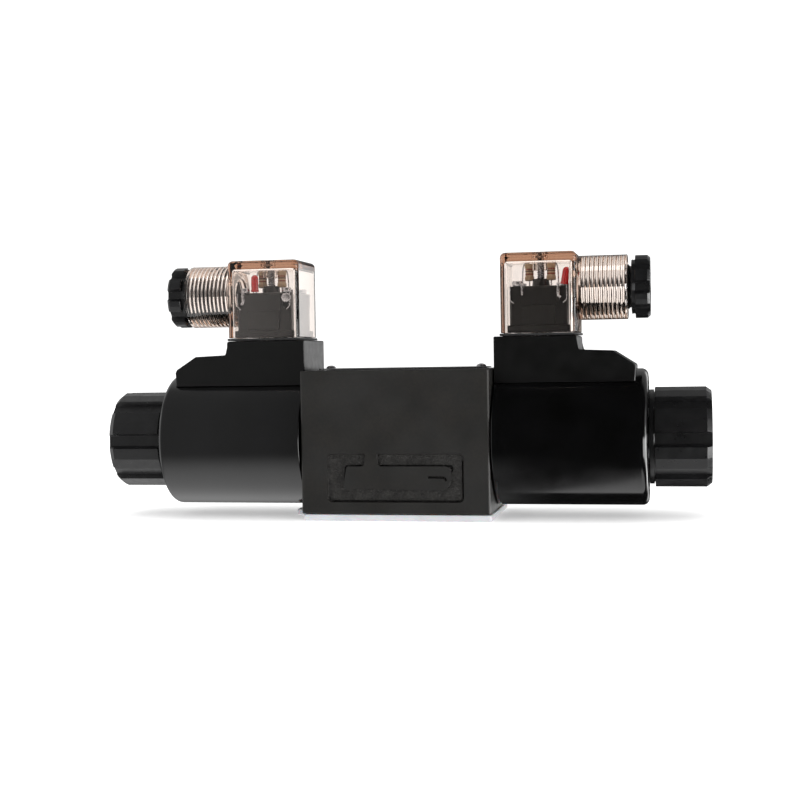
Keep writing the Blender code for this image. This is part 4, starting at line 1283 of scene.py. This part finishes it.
def build_room(world):
    """White surroundings; in reflections they are a dim room with a few lit panels."""
    nodes, links = world.node_tree.nodes, world.node_tree.links

    def ramp(value, start, end, level=1.0):
        span = new_node(nodes, "ShaderNodeMapRange", From_Min=start, From_Max=end, To_Max=level)
        span.interpolation_type = "SMOOTHSTEP"
        links.new(value, span.inputs["Value"])
        return span.outputs["Result"]

    def worked(operation, *terms):
        result = nodes.new("ShaderNodeMath")
        result.operation = operation
        for term, socket in zip(terms, result.inputs):
            if isinstance(term, float):
                socket.default_value = term
            else:
                links.new(term, socket)
        return result.outputs["Value"]

    way = nodes.new("ShaderNodeTexCoord").outputs["Generated"]
    split = nodes.new("ShaderNodeSeparateXYZ")
    links.new(way, split.inputs["Vector"])
    x, y, z = (split.outputs[letter] for letter in "XYZ")
    measures = {"x": x, "y": y, "z": z, "square": worked("MULTIPLY", x, x),
                "slope": worked("ADD", worked("MULTIPLY", x, SLOPE_X), y)}
    mirrored = ROOM_DARK
    for panel, *edges in ROOM_PANELS:
        for measure, start, full in edges:
            panel = worked("MULTIPLY", ramp(measures[measure], start, full), panel)
        mirrored = worked("ADD", panel, mirrored)
    dim = nodes.new("ShaderNodeBackground")
    links.new(mirrored, dim.inputs["Strength"])
    facing = nodes.new("ShaderNodeVectorMath")
    facing.operation = "DOT_PRODUCT"
    facing.inputs[1].default_value = ROOM_FRONT_WAY.normalized()
    links.new(way, facing.inputs[0])
    path = nodes.new("ShaderNodeLightPath").outputs
    through = path["Is Transmission Ray"]
    shade = ramp(facing.outputs["Value"], 0.70, 0.94, ROOM_WHITE - ROOM_FRONT)
    white = nodes["Background"]
    white.inputs["Color"].default_value = (1, 1, 1, 1)
    links.new(worked("SUBTRACT", ROOM_WHITE, worked("MULTIPLY", shade, through)), white.inputs["Strength"])
    choice = nodes.new("ShaderNodeMixShader")
    links.new(worked("SUBTRACT", path["Is Glossy Ray"], through), choice.inputs[0])
    links.new(white.outputs["Background"], choice.inputs[1])
    links.new(dim.outputs["Background"], choice.inputs[2])
    links.new(choice.outputs["Shader"], nodes["World Output"].inputs["Surface"])


def build_light():
    world = bpy.data.worlds.new("studio")
    world.use_nodes = True
    build_room(world)
    world.cycles.sampling_method = "NONE"
    bpy.context.scene.world = world
    bpy.context.scene.view_settings.view_transform = "Standard"
    target = (0, 0, 0.05)
    area_light("top_softbox", (0.0, -0.1, 1.3), target, (1.0, 0.5), 1.0).visible_glossy = False
    area_light("right_softbox", (1.3, -0.1, 0.0), target, (0.5, 0.5), 3.0)


CAMERA_PLACE = (0.1017, -0.5133, 0.0592)       # metres
CAMERA_LENS = 61.7                             # millimetres
CAMERA_PAN = 11.456                            # degrees
CAMERA_DIP = 1.701
CAMERA_ROLL = -0.903


def build_camera():
    camera = bpy.data.cameras.new("camera")
    camera.sensor_width = 36.0
    camera.lens = CAMERA_LENS
    view = bpy.data.objects.new("camera", camera)
    view.matrix_world = Matrix.Translation(CAMERA_PLACE)
    for angle, axis in ((CAMERA_PAN, "Z"), (90 - CAMERA_DIP, "X"), (CAMERA_ROLL, "Z")):
        view.matrix_world = view.matrix_world @ Matrix.Rotation(math.radians(angle), 4, axis)
    bpy.context.scene.collection.objects.link(view)
    bpy.context.scene.camera = view


def main():
    build_camera()
    build_light()
    build_stage()
    build_casting()
    build_nameplate()
    build_port_seals()
    build_cover_plate()
    build_coil_case()
    build_terminal_base()
    build_blades()
    build_coil_nut()
    build_override()
    build_plug()
    build_gland_nut()
    paint_kept_nodes()


main()
